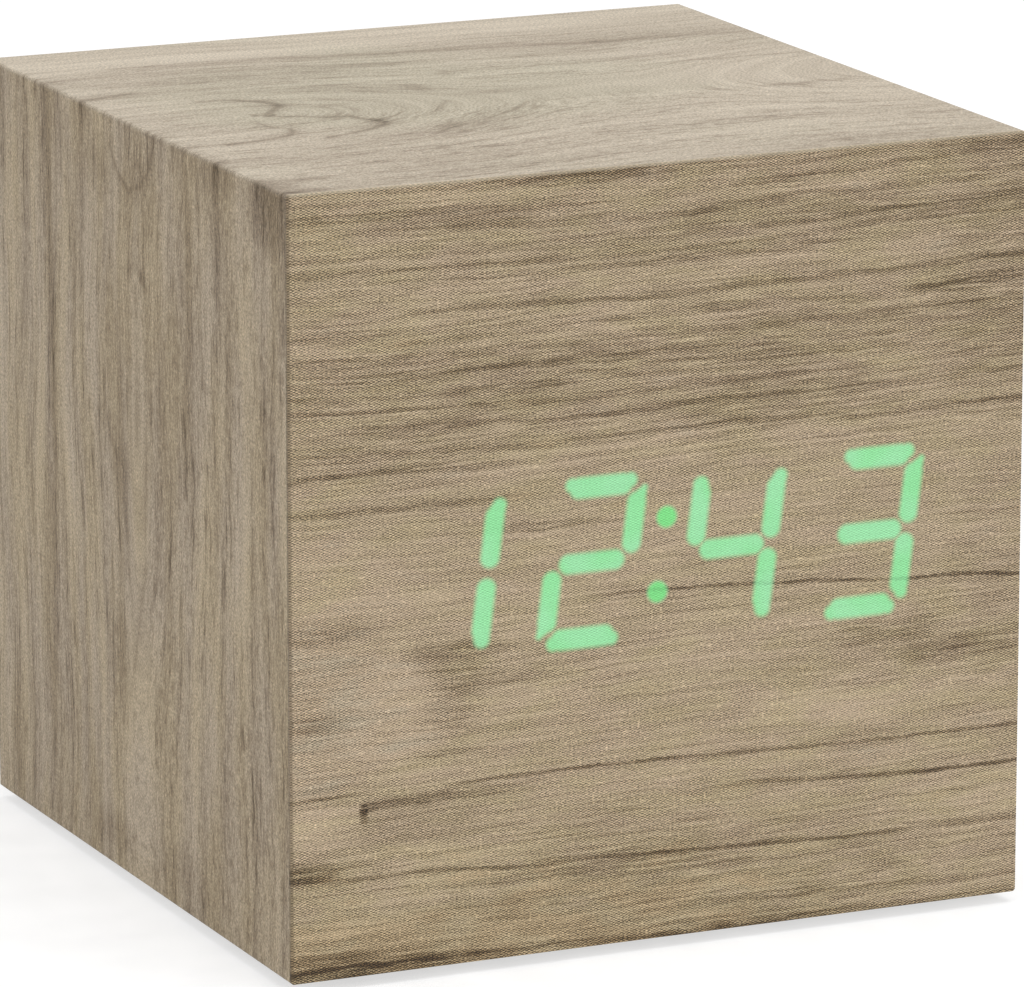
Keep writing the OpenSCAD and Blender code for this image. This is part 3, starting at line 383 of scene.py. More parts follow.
# How dark each level of the front is, and how strong its streaks are
FRONT_TONE = [
    (0, 0.46), (1.0, 0.32), (2, 0.27), (5, 0.28), (9, 0.25), (12, 0.24), (20, 0.26), (26, 0.185),
    (34, 0.17), (48, 0.17), (54, 0.19), (62, 0.22), (66, 0.26), (67, 0.34),
]
FRONT_STREAKS = [
    (0, 1.0), (9, 0.9), (15, 1.0), (23, 1.0), (28, 0.7), (42, 0.8), (50, 0.8), (58, 1.0), (67, 1.1),
]

# Threads of the pressed cloth to a millimetre
WEFT_PER_MM = 2.1
WARP_PER_MM = 4.6
# Print of the front film from pale to dark grain, and its tints from warm to cool
FRONT_WOOD = [
    (0.0, (191, 174, 148)), (0.25, (167, 151, 126)), (0.5, (137, 121, 98)), (0.75, (104, 89, 68)),
    (1.0, (68, 55, 40)),
]
FRONT_TINTS = [
    (0.10, (255, 249, 236)), (0.30, (253, 252, 241)), (0.5, (254, 251, 246)), (0.70, (255, 250, 249)),
    (0.95, (250, 252, 255)),
]
# Cut edges of the front film: a painted highlight along its top edge, and a dark seam with painted shade
# along its left edge
UPPER_EDGE_PAINTED_HIGHLIGHT = (205, 192, 168)
LEFT_SEAM_PAINTED_SHADE = (84, 70, 52)
# Light of the numerals through the film
GREEN = (154, 225, 167)
DEEP_GREEN = (144, 224, 156)
DOT_GREEN = (124, 220, 132)


def front_grain(tree):
    """How dark the front film's grain and its drawn lines are, with the place across and down."""
    x, _, z = place_mm(tree)
    u = x + HALF_W
    v = TOP_Z - z
    drift = noise(u * 0.03, v * 0.07, detail=1) - 0.5
    waver = noise(u * 0.4, v * 0.9, detail=2, roughness=0.6) - 0.5
    level = v + drift * 1.6 + waver * 0.3
    bands = noise(u * 0.05, level * 0.28, detail=1)
    lines = noise(u * 0.035, level * 2.1, detail=2, roughness=0.6)
    dashes = noise(u * 0.28, level * 3.4, detail=1)
    fine = noise(u * 0.12, level * 5.5, detail=1)
    grain = (bands - 0.5) * 0.28 + (lines - 0.5) * 0.5 + (dashes - 0.5) * 0.4 + (fine - 0.5) * 0.5
    dark = line_through(v, FRONT_TONE) + grain * line_through(v, FRONT_STREAKS)
    worn = (dashes * 2.2 - 0.2).within()
    spot = joined(tree, u + drift * 2.0, v + waver * 0.8)
    soft = darkest(patch(spot, *oval) for oval in FRONT_PATCHES)
    across = v + waver * 0.15 + (noise(u * 1.7, v * 1.3, detail=2, roughness=0.7) - 0.5) * 0.35
    marks = darkest(stroke(across, u, width, stations) for width, stations in FRONT_STROKES)
    marks = marks * (0.4 + worn * 0.6) * (0.72 + ramp(v, 22.0, 30.0) * 0.28)
    return (dark + soft * worn * 0.5).within(), marks, u, v


def weave(along, across):
    """Threads of the cloth that is pressed into the film, from about -1 in a hollow to 1 on a thread."""
    sway = noise(along * 1.3, across * 1.3, detail=1) - 0.5
    weft = ((along + sway * 0.12) * (2 * math.pi * WEFT_PER_MM)).sine()
    warp = ((across + sway * 0.06) * (2 * math.pi * WARP_PER_MM)).sine()
    threads = weft * warp
    return threads * (0.2 + noise(along * 0.9, across * 0.9, detail=1) * 1.6)


def front_colour(tree):
    """The front film's colour, with what its glow and finish are worked out from."""
    dark, marks, u, v = front_grain(tree)
    threads = weave(u, v)
    grit = noise(u * 5.0, v * 9.0, detail=1, roughness=0.7) - 0.5
    painted_glint = ramp(noise(u * 2.4, v * 2.4, detail=0), 0.70, 0.84)
    spot = joined(tree, u, v)
    cool = patch(spot, (4.0, 43.0), (13.0, 10.0), 0.32)
    warm = ramp(v, 54.0, 67.0) * ramp(u, 64.0, 24.0) * 0.4
    tint = noise(u * 0.16, v * 0.5, detail=2) + cool - warm
    pale = darkest(patch(spot, *oval) for oval in FRONT_PALE)
    # shadow is the print's own darkness of grain and marks, not shade
    shadow = (dark + marks * 0.6 - pale * 0.2).within()
    colour = shades(shadow, FRONT_WOOD)
    colour = vector("MULTIPLY", colour, shades(tint, FRONT_TINTS))
    # Painted shade and highlight of the pressed cloth: the colour darkens in the weave's hollows and pales
    # on its threads, more where the print is dark, and painted glints brighten scattered flecks
    deep = 0.48 + shadow * 1.7
    light = (1.0 + (threads + grit * 2.7) * deep + painted_glint * 0.3).most(0.2)
    return dark, marks, threads, grit, vector("SCALE", colour, light), u, v


# Lit segments of each numeral, lettered clockwise from the top bar a to f, with g across the middle
NUMERALS = ("bc", "abdeg", "bcfg", "abcdg")
# Bars: half lengths of their straight runs, and the fuller end bars with their turned-out ends
MIDDLE_BAR = 2.15
END_BAR = 2.0
END_BAR_SWELL = 0.06
END_BAR_TIP = (2.66, 0.27)
END_BAR_TIP_R = 0.70
# Uprights: where each starts from the middle, and how far before the numeral's end it bends
UPRIGHT_START = 1.3
UPRIGHT_BEND = 1.63
# Outer ends of uprights: how far each leans out and stops short of the numeral's end, and its reach
TALL_TIP = (0.30, 0.72, 0.68)
FREE_TIP = (0.14, 0.80, 0.78)
SHARP_TIP = (0.58, 0.52, 0.33)
JOINED_TIP = (0.25, 0.95, 0.66)


def upright_tip(segment, lit):
    """The outer end of an upright, which reaches further where the bar beside it is dark."""
    bar = "a" if segment in "bf" else "d"
    if bar not in lit:
        return TALL_TIP if segment == "b" else FREE_TIP
    return SHARP_TIP if segment in "be" else JOINED_TIP


def segment_runs(segment, lit):
    """Middle lines of one segment about the middle of its numeral, each with its reach at both ends."""
    half_w, half_h, reach = DIGIT_W / 2, DIGIT_H / 2, SEG_W / 2
    if segment == "g":
        return [((-MIDDLE_BAR, 0), (MIDDLE_BAR, 0), reach, reach)]
    if segment in "ad":
        reach += END_BAR_SWELL
        runs = [((-END_BAR, half_h), (END_BAR, half_h), reach, reach)]
        for side in (-1, 1):
            tip = (side * END_BAR_TIP[0], half_h + END_BAR_TIP[1])
            runs.append(((side * END_BAR, half_h), tip, reach, END_BAR_TIP_R))
    else:
        out, short, tip_reach = upright_tip(segment, lit)
        tip = (half_w + out, half_h - short)
        bend = (half_w, half_h - UPRIGHT_BEND)
        runs = [((half_w, UPRIGHT_START), bend, reach, reach), (bend, tip, reach, tip_reach)]
    side = -1 if segment in "ef" else 1
    rise = -1 if segment in "cde" else 1
    turned = []
    for start, end, start_reach, end_reach in runs:
        start, end = [(side * x, rise * z) for x, z in (start, end)]
        turned.append((start, end, start_reach, end_reach))
    return turned


def leaning(x, z):
    """A place on an upright numeral, moved over by its slant."""
    return (x + z * math.tan(SLANT), z)


def segment_gaps(place):
    """Distances from each run of the lit segments, less its reach."""
    for i, lit in enumerate(NUMERALS):
        middle = (i - (len(NUMERALS) - 1) / 2) * DIGIT_PITCH
        for segment in lit:
            for start, end, reach, end_reach in segment_runs(segment, lit):
                start, end = [(x + middle, z) for x, z in (leaning(*start), leaning(*end))]
                yield run_gap(place, start, end, reach, None if reach == end_reach else end_reach)


def dot_gaps(place):
    """Distances from the edges of the colon's two dots."""
    for side in (-1, 1):
        yield vector("DISTANCE", place, (*leaning(0, side * DOT_PITCH / 2), 0.0), 1) - DOT_R


def front_print(name):
    """The print of the front film, with the segments and dots that shine through it."""
    material, tree, shader = new_material(name)
    x, _, z = place_mm(tree)
    place = joined(tree, x, z - DISPLAY_Z)
    dot = ramp(nearest(dot_gaps(place)), 0.20, -0.35)
    core = ramp(nearest(segment_gaps(place)), 0.25, -0.40).most(dot)
    dark, marks, threads, grit, colour, u, v = front_colour(tree)
    # Painted highlight along the top edge and painted shade in the left seam, standing in for the light on
    # the rounded edges
    colour = blended(ramp(v, 0.3, 0.1) * 0.5, colour, linear(*UPPER_EDGE_PAINTED_HIGHLIGHT))
    colour = blended(ramp(u, 0.40, 0.15) * 0.5, colour, linear(*LEFT_SEAM_PAINTED_SHADE))
    tree.links.new(vector("SCALE", colour, 1.0 - core).socket, shader.inputs["Base Color"])
    uneven = ramp(noise(u * 0.22, v * 0.22, detail=1), 0.35, 0.70)
    green = blended(uneven, linear(*GREEN), linear(*DEEP_GREEN))
    green = blended(dot, green, linear(*DOT_GREEN))
    through = 1.06 - dark * 0.2 - marks * 0.25 + threads * 0.25 + grit * 0.5
    tree.links.new(vector("SCALE", green, core * through).socket, shader.inputs["Emission Color"])
    shader.inputs["Emission Strength"].default_value = 0.95
    tree.links.new((0.55 + dark * 0.15).socket, shader.inputs["Roughness"])
    shader.inputs["Specular IOR Level"].default_value = 0.3
    bump(tree, shader, threads, 0.01, 0.5)
    return material


# Wrap film on the top, places from its rear left corner, to the right and to the front
TOP_RINGS = [
    (0.60, 0.60, [(9.0, 26.9), (11.3, 27.0), (13.2, 28.5)]),
    (0.85, 1.00, [(12.2, 27.6), (13.6, 28.9), (14.8, 30.5), (14.5, 32.0)]),
    (0.65, 0.85, [(14.6, 31.6), (13.5, 33.2), (12.4, 34.6)]),
    (0.60, 0.80, [(12.6, 36.0), (15.0, 37.2), (16.8, 38.1), (18.2, 38.4), (18.8, 39.8), (19.8, 41.0)]),
    (0.75, 0.90, [(19.4, 40.4), (20.2, 42.2), (19.4, 43.3), (17.6, 44.5)]),
    (0.60, 0.80, [(18.4, 44.0), (15.6, 45.6), (13.0, 46.4)]),
    (0.50, 0.60, [(9.9, 38.2), (10.3, 40.2), (11.3, 41.6)]),
    (0.60, 0.75, [(11.2, 41.3), (11.4, 42.7), (10.2, 44.4), (8.0, 45.3), (4.0, 46.0)]),
    (0.60, 0.60, [(-1, 23.3), (1.5, 22.1), (3.5, 21.5), (5.2, 21.0)]),
    (0.50, 0.50, [(22.5, 48.0), (24.0, 46.8), (26.0, 45.6), (28.5, 44.3), (30.5, 42.8), (32.5, 41.2),
                  (35.0, 38.4)]),
    (0.50, 0.40, [(25.0, 40.5), (26.5, 38.6), (28.8, 35.2)]),
    (1.00, 0.45, [(8, 9.4), (13, 9.9), (24, 11.0), (33, 12.2), (45, 13.7), (54, 14.8), (69, 15.4)]),
    (0.50, 0.45, [(35.5, 25.9), (40, 26.3), (44.5, 26.7)]),
    (0.50, 0.45, [(49, 26.9), (54, 26.5), (60, 26.6), (69, 26.9)]),
    (0.60, 0.35, [(20, 24.2), (26, 24.6), (33, 25.1)]),
    (0.45, 0.40, [(20, 54.0), (27, 52.0), (32, 50.7)]),
    (0.45, 0.35, [(34, 51.8), (46, 50.6)]),
]
TOP_PATCHES = [
    ((12.2, 35.3), (0.9, 1.0), 1.0), ((29, 28.5), (1.6, 2.4), 0.35), ((36, 33), (7, 1.4), 0.30),
    ((48, 18.5), (8, 2.0), 0.30), ((28, 17), (8, 1.6), 0.35), ((10, 17.5), (9, 1.5), 0.30),
    ((61, 40.3), (6, 0.9), 0.45), ((60, 14.8), (9, 1.2), 0.30), ((19, 33), (2, 1.0), 0.30),
    ((34, 23.5), (1.2, 2.4), 0.30), ((1, 67), (4, 2.5), 0.6), ((4, 62.5), (4, 1.5), 0.35),
]
# The same film down the left side, places from its rear upper corner, to the front and down
LEFT_RINGS = [
    (0.45, 0.55, [(29.0, 2.8), (30.8, 4.9), (33.2, 5.9), (36.0, 5.2), (38.0, 3.2), (39.8, -0.5)]),
    (0.40, 0.60, [(33.0, 13.0), (34.6, 11.8), (35.6, 12.7), (37.2, 13.8)]),
    (0.70, 0.45, [(27.0, 26.0), (29.4, 29.4), (31.4, 32.4), (32.0, 36.0)]),
    (0.60, 0.45, [(36.8, 29.0), (36.2, 38.0), (34.4, 45.0), (32.2, 51.0)]),
    (0.60, 0.45, [(26.4, 38.0), (27.2, 45.0), (28.6, 50.5)]),
    (0.80, 0.45, [(38.6, 49.0), (38.1, 58.0), (38.0, 68.0)]),
    (1.10, 0.50, [(14.0, -1), (14.4, 12), (14.9, 26), (14.4, 40), (14.6, 68)]),
    (0.40, 0.55, [(19.0, 2), (19.2, 14)]),
    (0.40, 0.45, [(17.5, 2), (17.5, 7)]),
    (0.90, 0.60, [(46.0, -1), (46.8, 6), (46.4, 16), (45.6, 30)]),
    (0.50, 0.50, [(24.2, 29), (24.8, 36)]),
    (0.60, 0.45, [(60.0, 18), (60.4, 34)]),
    (0.50, 0.40, [(53.0, 2), (53.2, 12)]),
    (0.50, 0.35, [(33.3, 52), (33.4, 58)]),
]
LEFT_PATCHES = [
    ((35.9, 12.9), (0.9, 0.7), 0.8), ((31, 30.5), (2.5, 3), 0.4), ((64, 1.5), (5, 5.0), 0.8),
    ((50, 1.0), (10, 2.6), 0.4), ((26, 5), (3, 3.5), 0.35), ((29, 64), (6, 2.5), 0.45),
    ((30, 48), (3.5, 5), 0.35), ((48, 18), (3, 12), 0.35), ((43, 64), (8, 4), 0.35),
]

# Print of the wrap film and the rear from pale to dark grain, and the tints of its sides and top, where the
# sides' warmer and the top's cooler tints are painted light colour
WRAP_WOOD = [(0.0, (192, 178, 156)), (0.25, (171, 157, 136)), (0.5, (145, 130, 110)), (1.0, (90, 76, 58))]
REAR_WOOD = [(0.0, (192, 175, 148)), (0.25, (171, 154, 128)), (0.5, (143, 127, 102)), (1.0, (88, 74, 55))]
SIDE_TINTS_WARM_PAINTED_LIGHT = [(0.35, (255, 249, 234)), (0.65, (254, 250, 246))]
TOP_TINTS_COOL_PAINTED_LIGHT = [(0.30, (249, 251, 255)), (0.80, (246, 252, 253))]
# The rear is cut from another stretch of the printed film
REAR_SHIFT = 200.0


def wrap_marks(place, ragged):
    """Rings and dark ovals of the wrap film, at their places on its flat strip."""
    for width, amount, line in TOP_RINGS:
        yield ring_line(place, ragged, width, amount, [(u - HALF_W, HALF_W - v) for u, v in line])
    for (u, v), reach, amount in TOP_PATCHES:
        yield patch(place, (u - HALF_W, HALF_W - v), reach, amount)
    for width, amount, line in LEFT_RINGS:
        yield ring_line(place, ragged, width, amount, [(-HALF_W - v, HALF_W - u) for u, v in line])
    for (u, v), reach, amount in LEFT_PATCHES:
        yield patch(place, (-HALF_W - v, HALF_W - u), (reach[1], reach[0]), amount)


def wood_print(along, level):
    """Grain of the printed wood on its lines of growth: broad and fine darkness, and its fibres."""
    broad = noise(along * 0.025, level * 0.22, detail=1) - 0.5
    streaks = noise(along * 0.04, level * 0.8, detail=2, roughness=0.62) - 0.5
    dashes = ramp(noise(along * 0.25, level * 2.6, detail=1), 0.48, 0.75)
    fibres = noise(along * 0.9, level * 6.0, detail=1, roughness=0.7)
    fine = dashes * (0.16 + streaks * 0.9) + (fibres - 0.5) * 0.75
    return broad * 0.55 + streaks * 0.6, fine, fibres


def wood_finish(tree, shader, dark, fibres):
    """Satin film whose fibres stand out a little, duller where the print is dark."""
    tree.links.new((0.5 + dark * 0.2).socket, shader.inputs["Roughness"])
    shader.inputs["Specular IOR Level"].default_value = 0.3
    bump(tree, shader, fibres, 0.02, 0.4)


def wrap_film_material():
    """Printed film that is bent round the case, with the rings of one board across its folds."""
    material, tree, shader = new_material("wrap_film_print")
    x, y, z = place_mm(tree)
    drop = TOP_Z - z
    # One strip of film runs up the left side, over the top and down the right side
    along = x + x.sign() * drop
    on_top = ramp(drop, 0.5, 0.0)
    drift = noise(along * 0.04, y * 0.06, detail=1) - 0.5
    waver = noise(along * 0.3, y * 0.5, detail=2) - 0.5
    # Lines of growth close round the heart of the board, which lies under the upper left corner
    off = y + 0.5 + drift * 3.0
    spread = ramp(along, -28.0, 6.0) * (12.0 - ramp(along, 14.0, 46.0) * 10.5)
    spread = spread + ramp(along, -56.0, -86.0) * 3.5
    level = vector("LENGTH", joined(tree, off, spread), None, 1) + off * 0.2 + waver * 0.4
    broad, fine, fibres = wood_print(along, level)
    # The fine grain is calm on the middle line beside the heart, and calmer on the top than on the sides,
    # where it is toned down as painted sheen of the overhead light
    calm = 1.0 - ramp(along, -16.0, -6.0) * ramp(along, 48.0, 34.0) * ramp(abs(off), 6.0, 1.0) * 0.9
    calm = calm - ramp(along, -54.0, -62.0) * ramp(along, -92.0, -80.0) * ramp(abs(off), 4.0, 1.0) * 0.6
    calm = calm - ramp(along, 36.0, 48.0) * ramp(abs(off), 3.0, 0.8) * 0.7
    rear = on_top * ramp(y, 22.0, 29.0)
    # Painted sheen: the top's grain is toned down here and in the broad grain below, standing in for the
    # overhead light washing it out
    smooth = on_top * (0.55 - ramp(y, 8.0, -24.0) * 0.2) + rear * 0.3
    grit = noise(along * 4.0, y * 7.0, detail=1, roughness=0.7) - 0.5
    fade = ramp(noise(along * 0.25, y * 0.25, detail=1), 0.30, 0.65)
    ragged = (1.0 - fade) * 0.10 + (fibres - 0.5) * 0.25
    bent = joined(tree, along + waver * 0.9, y + waver * 0.7)
    marks = darkest(wrap_marks(bent, ragged)) * (0.8 + fade * 0.2)
    upper = ramp(drop, 14.0, 1.0) * (1.0 - on_top)
    dark = 0.22 - rear * 0.12 + upper * 0.08
    dark = dark + broad * (1.0 - on_top * 0.4) + fine * calm * (1.2 - smooth) + marks * 0.5
    dark = dark.within()
    colour = shades(dark, WRAP_WOOD)
    side_tint_warm_light = shades(noise(along * 0.05, level * 0.25, detail=1), SIDE_TINTS_WARM_PAINTED_LIGHT)
    cool = patch(bent, (-5.0, 5.0), (28.0, 22.0), 0.7) + noise(along * 0.06, y * 0.10, detail=1) * 0.6
    top_tint_cool_light = shades(cool, TOP_TINTS_COOL_PAINTED_LIGHT)
    # Painted light colour: the sides are tinted warmer and the top cooler, and the top is made 5% paler
    colour = vector("MULTIPLY", colour, blended(on_top, side_tint_warm_light, top_tint_cool_light))
    colour = vector("SCALE", colour, 1.0 + on_top * 0.05 + grit * (1.5 + on_top * 0.2))
    tree.links.new(colour.socket, shader.inputs["Base Color"])
    wood_finish(tree, shader, dark, fibres)
    return material


def rear_wood_material():
    """Printed film of the rear panel, from another part of the board."""
    material, tree, shader = new_material("rear_wood_print")
    x, _, z = place_mm(tree)
    along = x + REAR_SHIFT
    waver = noise(along * 0.3, z * 0.5, detail=2) - 0.5
    level = z + noise(along * 0.04, z * 0.06, detail=1) * 3.0 + waver * 0.4
    broad, fine, fibres = wood_print(along, level)
    dark = (0.22 + broad + fine).within()
    colour = shades(dark, REAR_WOOD)
    tree.links.new(colour.socket, shader.inputs["Base Color"])
    wood_finish(tree, shader, dark, fibres)
    return material


def rubbed_edge_and_highlight(tree, reach_mm):
    """1 on a sharp edge that handling has rubbed and that carries a painted highlight, and 0 on the faces
    beside it.
    """
    rounded = tree.nodes.new("ShaderNodeBevel")
    rounded.samples = 4
    rounded.inputs["Radius"].default_value = reach_mm / 1000
    facing = tree.nodes.new("ShaderNodeNewGeometry")
    turn = vector("DOT_PRODUCT", Num(tree, rounded.outputs[0]), Num(tree, facing.outputs["Normal"]), 1)
    return ramp(turn, 0.98, 0.80)


# Width of rubbed edges, which also carry a painted highlight, in millimetres, and the sheen of plain
# materials
EDGE_REACH = 0.25
SHEEN = 0.4


def mottled(name, pale, deep, grain_mm, rough, metal=0.0, depth_mm=0.01, stretch=(1, 1, 1)):
    """Colour and sheen that shift between two tones in grains of one size, paler on rubbed edges, partly as
    a painted highlight.
    """
    material, tree, shader = new_material(name)
    place = [axis * (1 / (grain_mm * scale)) for axis, scale in zip(place_mm(tree), stretch)]
    grains = noise(*place, detail=3, roughness=0.6)
    clouds = noise(*[axis * 0.12 for axis in place], detail=2)
    share = (grains * 0.6 + clouds * 0.4).within()
    colour = shades(share, [(0.3, deep), (0.7, pale)])
    # Rubbed edges are made paler: wear, and a painted edge highlight
    worn = rubbed_edge_and_highlight(tree, EDGE_REACH) * grains
    colour = vector("SCALE", colour, 1.0 + worn * 0.7)
    tree.links.new(colour.socket, shader.inputs["Base Color"])
    roughness = (rough + (grains - 0.5) * 0.25 - worn * 0.2).within()
    tree.links.new(roughness.socket, shader.inputs["Roughness"])
    shader.inputs["Metallic"].default_value = metal
    # Hollows of the grain hold back the sheen
    sheen = ramp(grains, 0.32, 0.68) * 0.9 + 0.5
    tree.links.new((sheen * SHEEN).socket, shader.inputs["Specular IOR Level"])
    bump(tree, shader, grains, depth_mm, 0.5)
    return material


# Pointers over two buttons: the place of each across the panel, and 1 for up or -1 for down
POINTERS = ((0.0, 1.0), (-8.0, -1.0))
POINTER_Z = 39.4
PANEL_FACE_Y = (32.8, 32.9)
POINTER_INK = (205, 205, 200)


def pointer_prints(x, z):
    """1 inside each pointer's triangle and 0 outside it."""
    for middle, turn in POINTERS:
        side = abs(x - middle)
        rise = (z - POINTER_Z) * turn
        yield ramp(side + rise * 0.62, 0.66, 0.58) * ramp(rise, -0.92, -0.84)


def panel_material():
    """Moulded black panel with a printed pointer over each of the two setting buttons."""
    material, tree, shader = new_material("panel_plastic")
    x, y, z = place_mm(tree)
    grains = noise(x * 2.2, y * 2.2, z * 2.2, detail=3, roughness=0.65)
    clouds = noise(x * 0.12, z * 0.12, detail=2)
    scuffs = ramp(noise(x * 0.4 + z * 0.2, z * 5.0 - x * 1.5, detail=2), 0.60, 0.78)
    colour = shades(grains * 0.65 + clouds * 0.35, [(0.3, (16, 16, 18)), (0.7, (54, 54, 57))])
    # Rubbed edges are made paler: wear, and a painted edge highlight
    worn = rubbed_edge_and_highlight(tree, EDGE_REACH) * grains
    colour = vector("SCALE", colour, 1.0 + worn * 0.8 + scuffs * 0.35)
    prints = darkest(pointer_prints(x, z)) * ramp(y, *PANEL_FACE_Y)
    colour = blended(prints, colour, linear(*POINTER_INK))
    tree.links.new(colour.socket, shader.inputs["Base Color"])
    roughness = 0.5 + (grains - 0.5) * 0.4 - worn * 0.2 - scuffs * 0.08
    tree.links.new(roughness.socket, shader.inputs["Roughness"])
    sheen = ramp(grains, 0.32, 0.68) * 0.26 + scuffs * 0.12 + 0.22
    tree.links.new(sheen.socket, shader.inputs["Specular IOR Level"])
    bump(tree, shader, grains, 0.03, 0.7)
    return material


# Tracks of the boards, as a wave of about 1.5 mm
TRACKS = 4.2


def board_material():
    """Green circuit board with paler raised tracks."""
    material, tree, shader = new_material("circuit_board")
    x, y, z = place_mm(tree)
    bend = noise(x * 0.25, z * 0.25, detail=1) - 0.5
    tracks = ((x + bend * 3.0) * TRACKS).sine().most(((z + bend * 5.0) * TRACKS).sine())
    copper = ramp(tracks, 0.86, 0.93)
    mask = shades(noise(x * 3.0, y * 3.0, z * 3.0), [(0.3, (18, 74, 44)), (0.7, (26, 88, 52))])
    colour = blended(copper, mask, linear(46, 120, 70))
    tree.links.new(colour.socket, shader.inputs["Base Color"])
    shader.inputs["Roughness"].default_value = 0.35
    bump(tree, shader, copper, 0.03, 0.5)
    return material


# Cells: the middle of their length, and how far from it the band starts and the jacket ends
CELL_MIDDLE = -0.2
BAND_START = 14.0
JACKET_END = 21.0


def cell_material():
    """Cells in a plain jacket with a band near each end and bare steel ends."""
    material, tree, shader = new_material("cell_jacket")
    x, y, z = place_mm(tree)
    grains = noise(x * 0.6, y * 3.0, z * 3.0, detail=3)
    end = abs(x - CELL_MIDDLE)
    jacket = shades(grains, [(0.3, (62, 68, 78)), (0.7, (76, 82, 92))])
    jacket = blended(ramp(end, BAND_START, BAND_START + 0.2), jacket, linear(176, 128, 62))
    bare = ramp(end, JACKET_END, JACKET_END + 0.15)
    colour = blended(bare, jacket, linear(196, 196, 192))
    tree.links.new(colour.socket, shader.inputs["Base Color"])
    shader.inputs["Metallic"].default_value = 0.75
    tree.links.new((0.32 + (grains - 0.5) * 0.2).socket, shader.inputs["Roughness"])
    bump(tree, shader, grains, 0.01, 0.4)
    return material


MATERIALS = {
    "front_film": front_print("front_film_print"),
    "wrap_film": wrap_film_material(),
    "rear_panel": rear_wood_material(),
    "lit_lenses": front_print("lit_segments"),
    "control_panel": panel_material(),
    "cells": cell_material(),
}
board = board_material()
fibreboard = mottled("fibreboard", (176, 140, 100), (140, 106, 70), 0.7, 0.85, depth_mm=0.05,
                     stretch=(3, 1, 1))
black = mottled("black_plastic", (50, 50, 52), (20, 20, 22), 0.45, 0.5, depth_mm=0.03)
steel = mottled("plated_steel", (196, 196, 192), (160, 160, 158), 0.4, 0.3, metal=1.0)
resin = mottled("chip_resin", (44, 44, 46), (30, 30, 32), 0.2, 0.6)
ivory = mottled("ivory_plastic", (236, 228, 205), (222, 212, 186), 0.6, 0.5)
button = mottled("button_plastic", (68, 68, 70), (40, 40, 42), 0.4, 0.42, depth_mm=0.02)
bright = mottled("bright_can", (208, 208, 210), (176, 176, 180), 0.5, 0.25, metal=1.0)
SHARED = {
    board: ["display_board", "main_board"],
    fibreboard: ["front_board", "top_board", "bottom_board", "left_board", "right_board"],
    black: ["battery_box", "battery_door", "power_socket", "buzzer", "coin_holder"],
    steel: ["display_screws", "board_screws", "box_screws", "contact_plates", "contact_springs",
            "switch_bodies", "sound_switch_body"],
    resin: ["driver_chip", "controller_chip"],
    ivory: ["display_header", "main_header"],
    button: ["set_button", "up_button", "down_button"],
    bright: ["crystal", "microphone", "coin_cell"],
    mottled("foot_rubber", (46, 46, 46), (32, 32, 32), 0.5, 0.85, depth_mm=0.03): ["feet"],
    mottled("white_plastic", (240, 240, 236), (226, 226, 222), 0.5, 0.45): ["reflector"],
    mottled("milky_lens", (206, 210, 200), (190, 196, 184), 0.8, 0.3): ["dark_lenses"],
    mottled("lamp_resin", (240, 232, 170), (224, 212, 140), 0.3, 0.25): ["segment_leds"],
    mottled("blackened_screw", (80, 78, 78), (56, 55, 55), 0.3, 0.4, metal=0.8): ["panel_screws"],
    mottled("ribbon_sleeve", (186, 186, 190), (160, 160, 166), 0.5, 0.5,
            stretch=(1, 6, 6)): ["ribbon_cable"],
    mottled("plunger_plastic", (88, 88, 92), (72, 72, 76), 0.3, 0.45): [
        "set_plunger", "up_plunger", "down_plunger"],
    mottled("knob_plastic", (220, 220, 214), (204, 204, 198), 0.3, 0.45): ["sound_knob"],
    mottled("socket_brass", (214, 200, 150), (190, 174, 120), 0.3, 0.25, metal=1.0): ["socket_pin"],
    mottled("sensor_resin", (46, 46, 48), (34, 34, 36), 0.4, 0.3): ["temperature_sensor"],
    mottled("capacitor_sleeve", (34, 42, 92), (26, 32, 76), 0.5, 0.3): ["capacitors"],
    mottled("red_insulation", (196, 30, 28), (170, 20, 20), 0.4, 0.5): ["red_lead"],
    mottled("black_insulation", (36, 36, 36), (24, 24, 24), 0.4, 0.5): ["black_lead"],
}
for material, names in SHARED.items():
    for name in names:
        MATERIALS[name] = material
for name, piece in nodes.items():
    piece.data.materials.clear()
    piece.data.materials.append(MATERIALS[name])


# Wires
def add_tube(mesh, path, radius, sides):
    """Adds a round wire along a path in millimetres to a mesh, closed at both ends."""
    rings = []
    side = None
    for i, middle in enumerate(path):
        along = (path[min(i + 1, len(path) - 1)] - path[max(i - 1, 0)]).normalized()
        side = along.orthogonal() if side is None else side - along * side.dot(along)
        side.normalize()
        up = along.cross(side)
        ring = []
        for k in range(sides):
            turn = 2 * math.pi * k / sides
            spot = middle + radius * (math.cos(turn) * side + math.sin(turn) * up)
            ring.append(mesh.verts.new(spot / 1000))
        rings.append(ring)
    for ring, after in zip(rings, rings[1:]):
        for k in range(sides):
            following = (k + 1) % sides
            mesh.faces.new((ring[k], ring[following], after[following], after[k]))
    mesh.faces.new(rings[0][::-1])
    mesh.faces.new(rings[-1])


def wire_piece(node, paths, radius, sides):
    """A piece of one or more round wires, in place of a CAD node of the case."""
    mesh = bmesh.new()
    for path in paths:
        add_tube(mesh, path, radius, sides)
    for face in mesh.faces:
        face.smooth = len(face.verts) == 4
    data = bpy.data.meshes.new(node + "_wire")
    mesh.to_mesh(data)
    mesh.free()
    data.materials.append(MATERIALS[node])
    piece = bpy.data.objects.new(node + "_wire", data)
    scene.collection.objects.link(piece)
    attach(piece, "case")
    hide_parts(node)


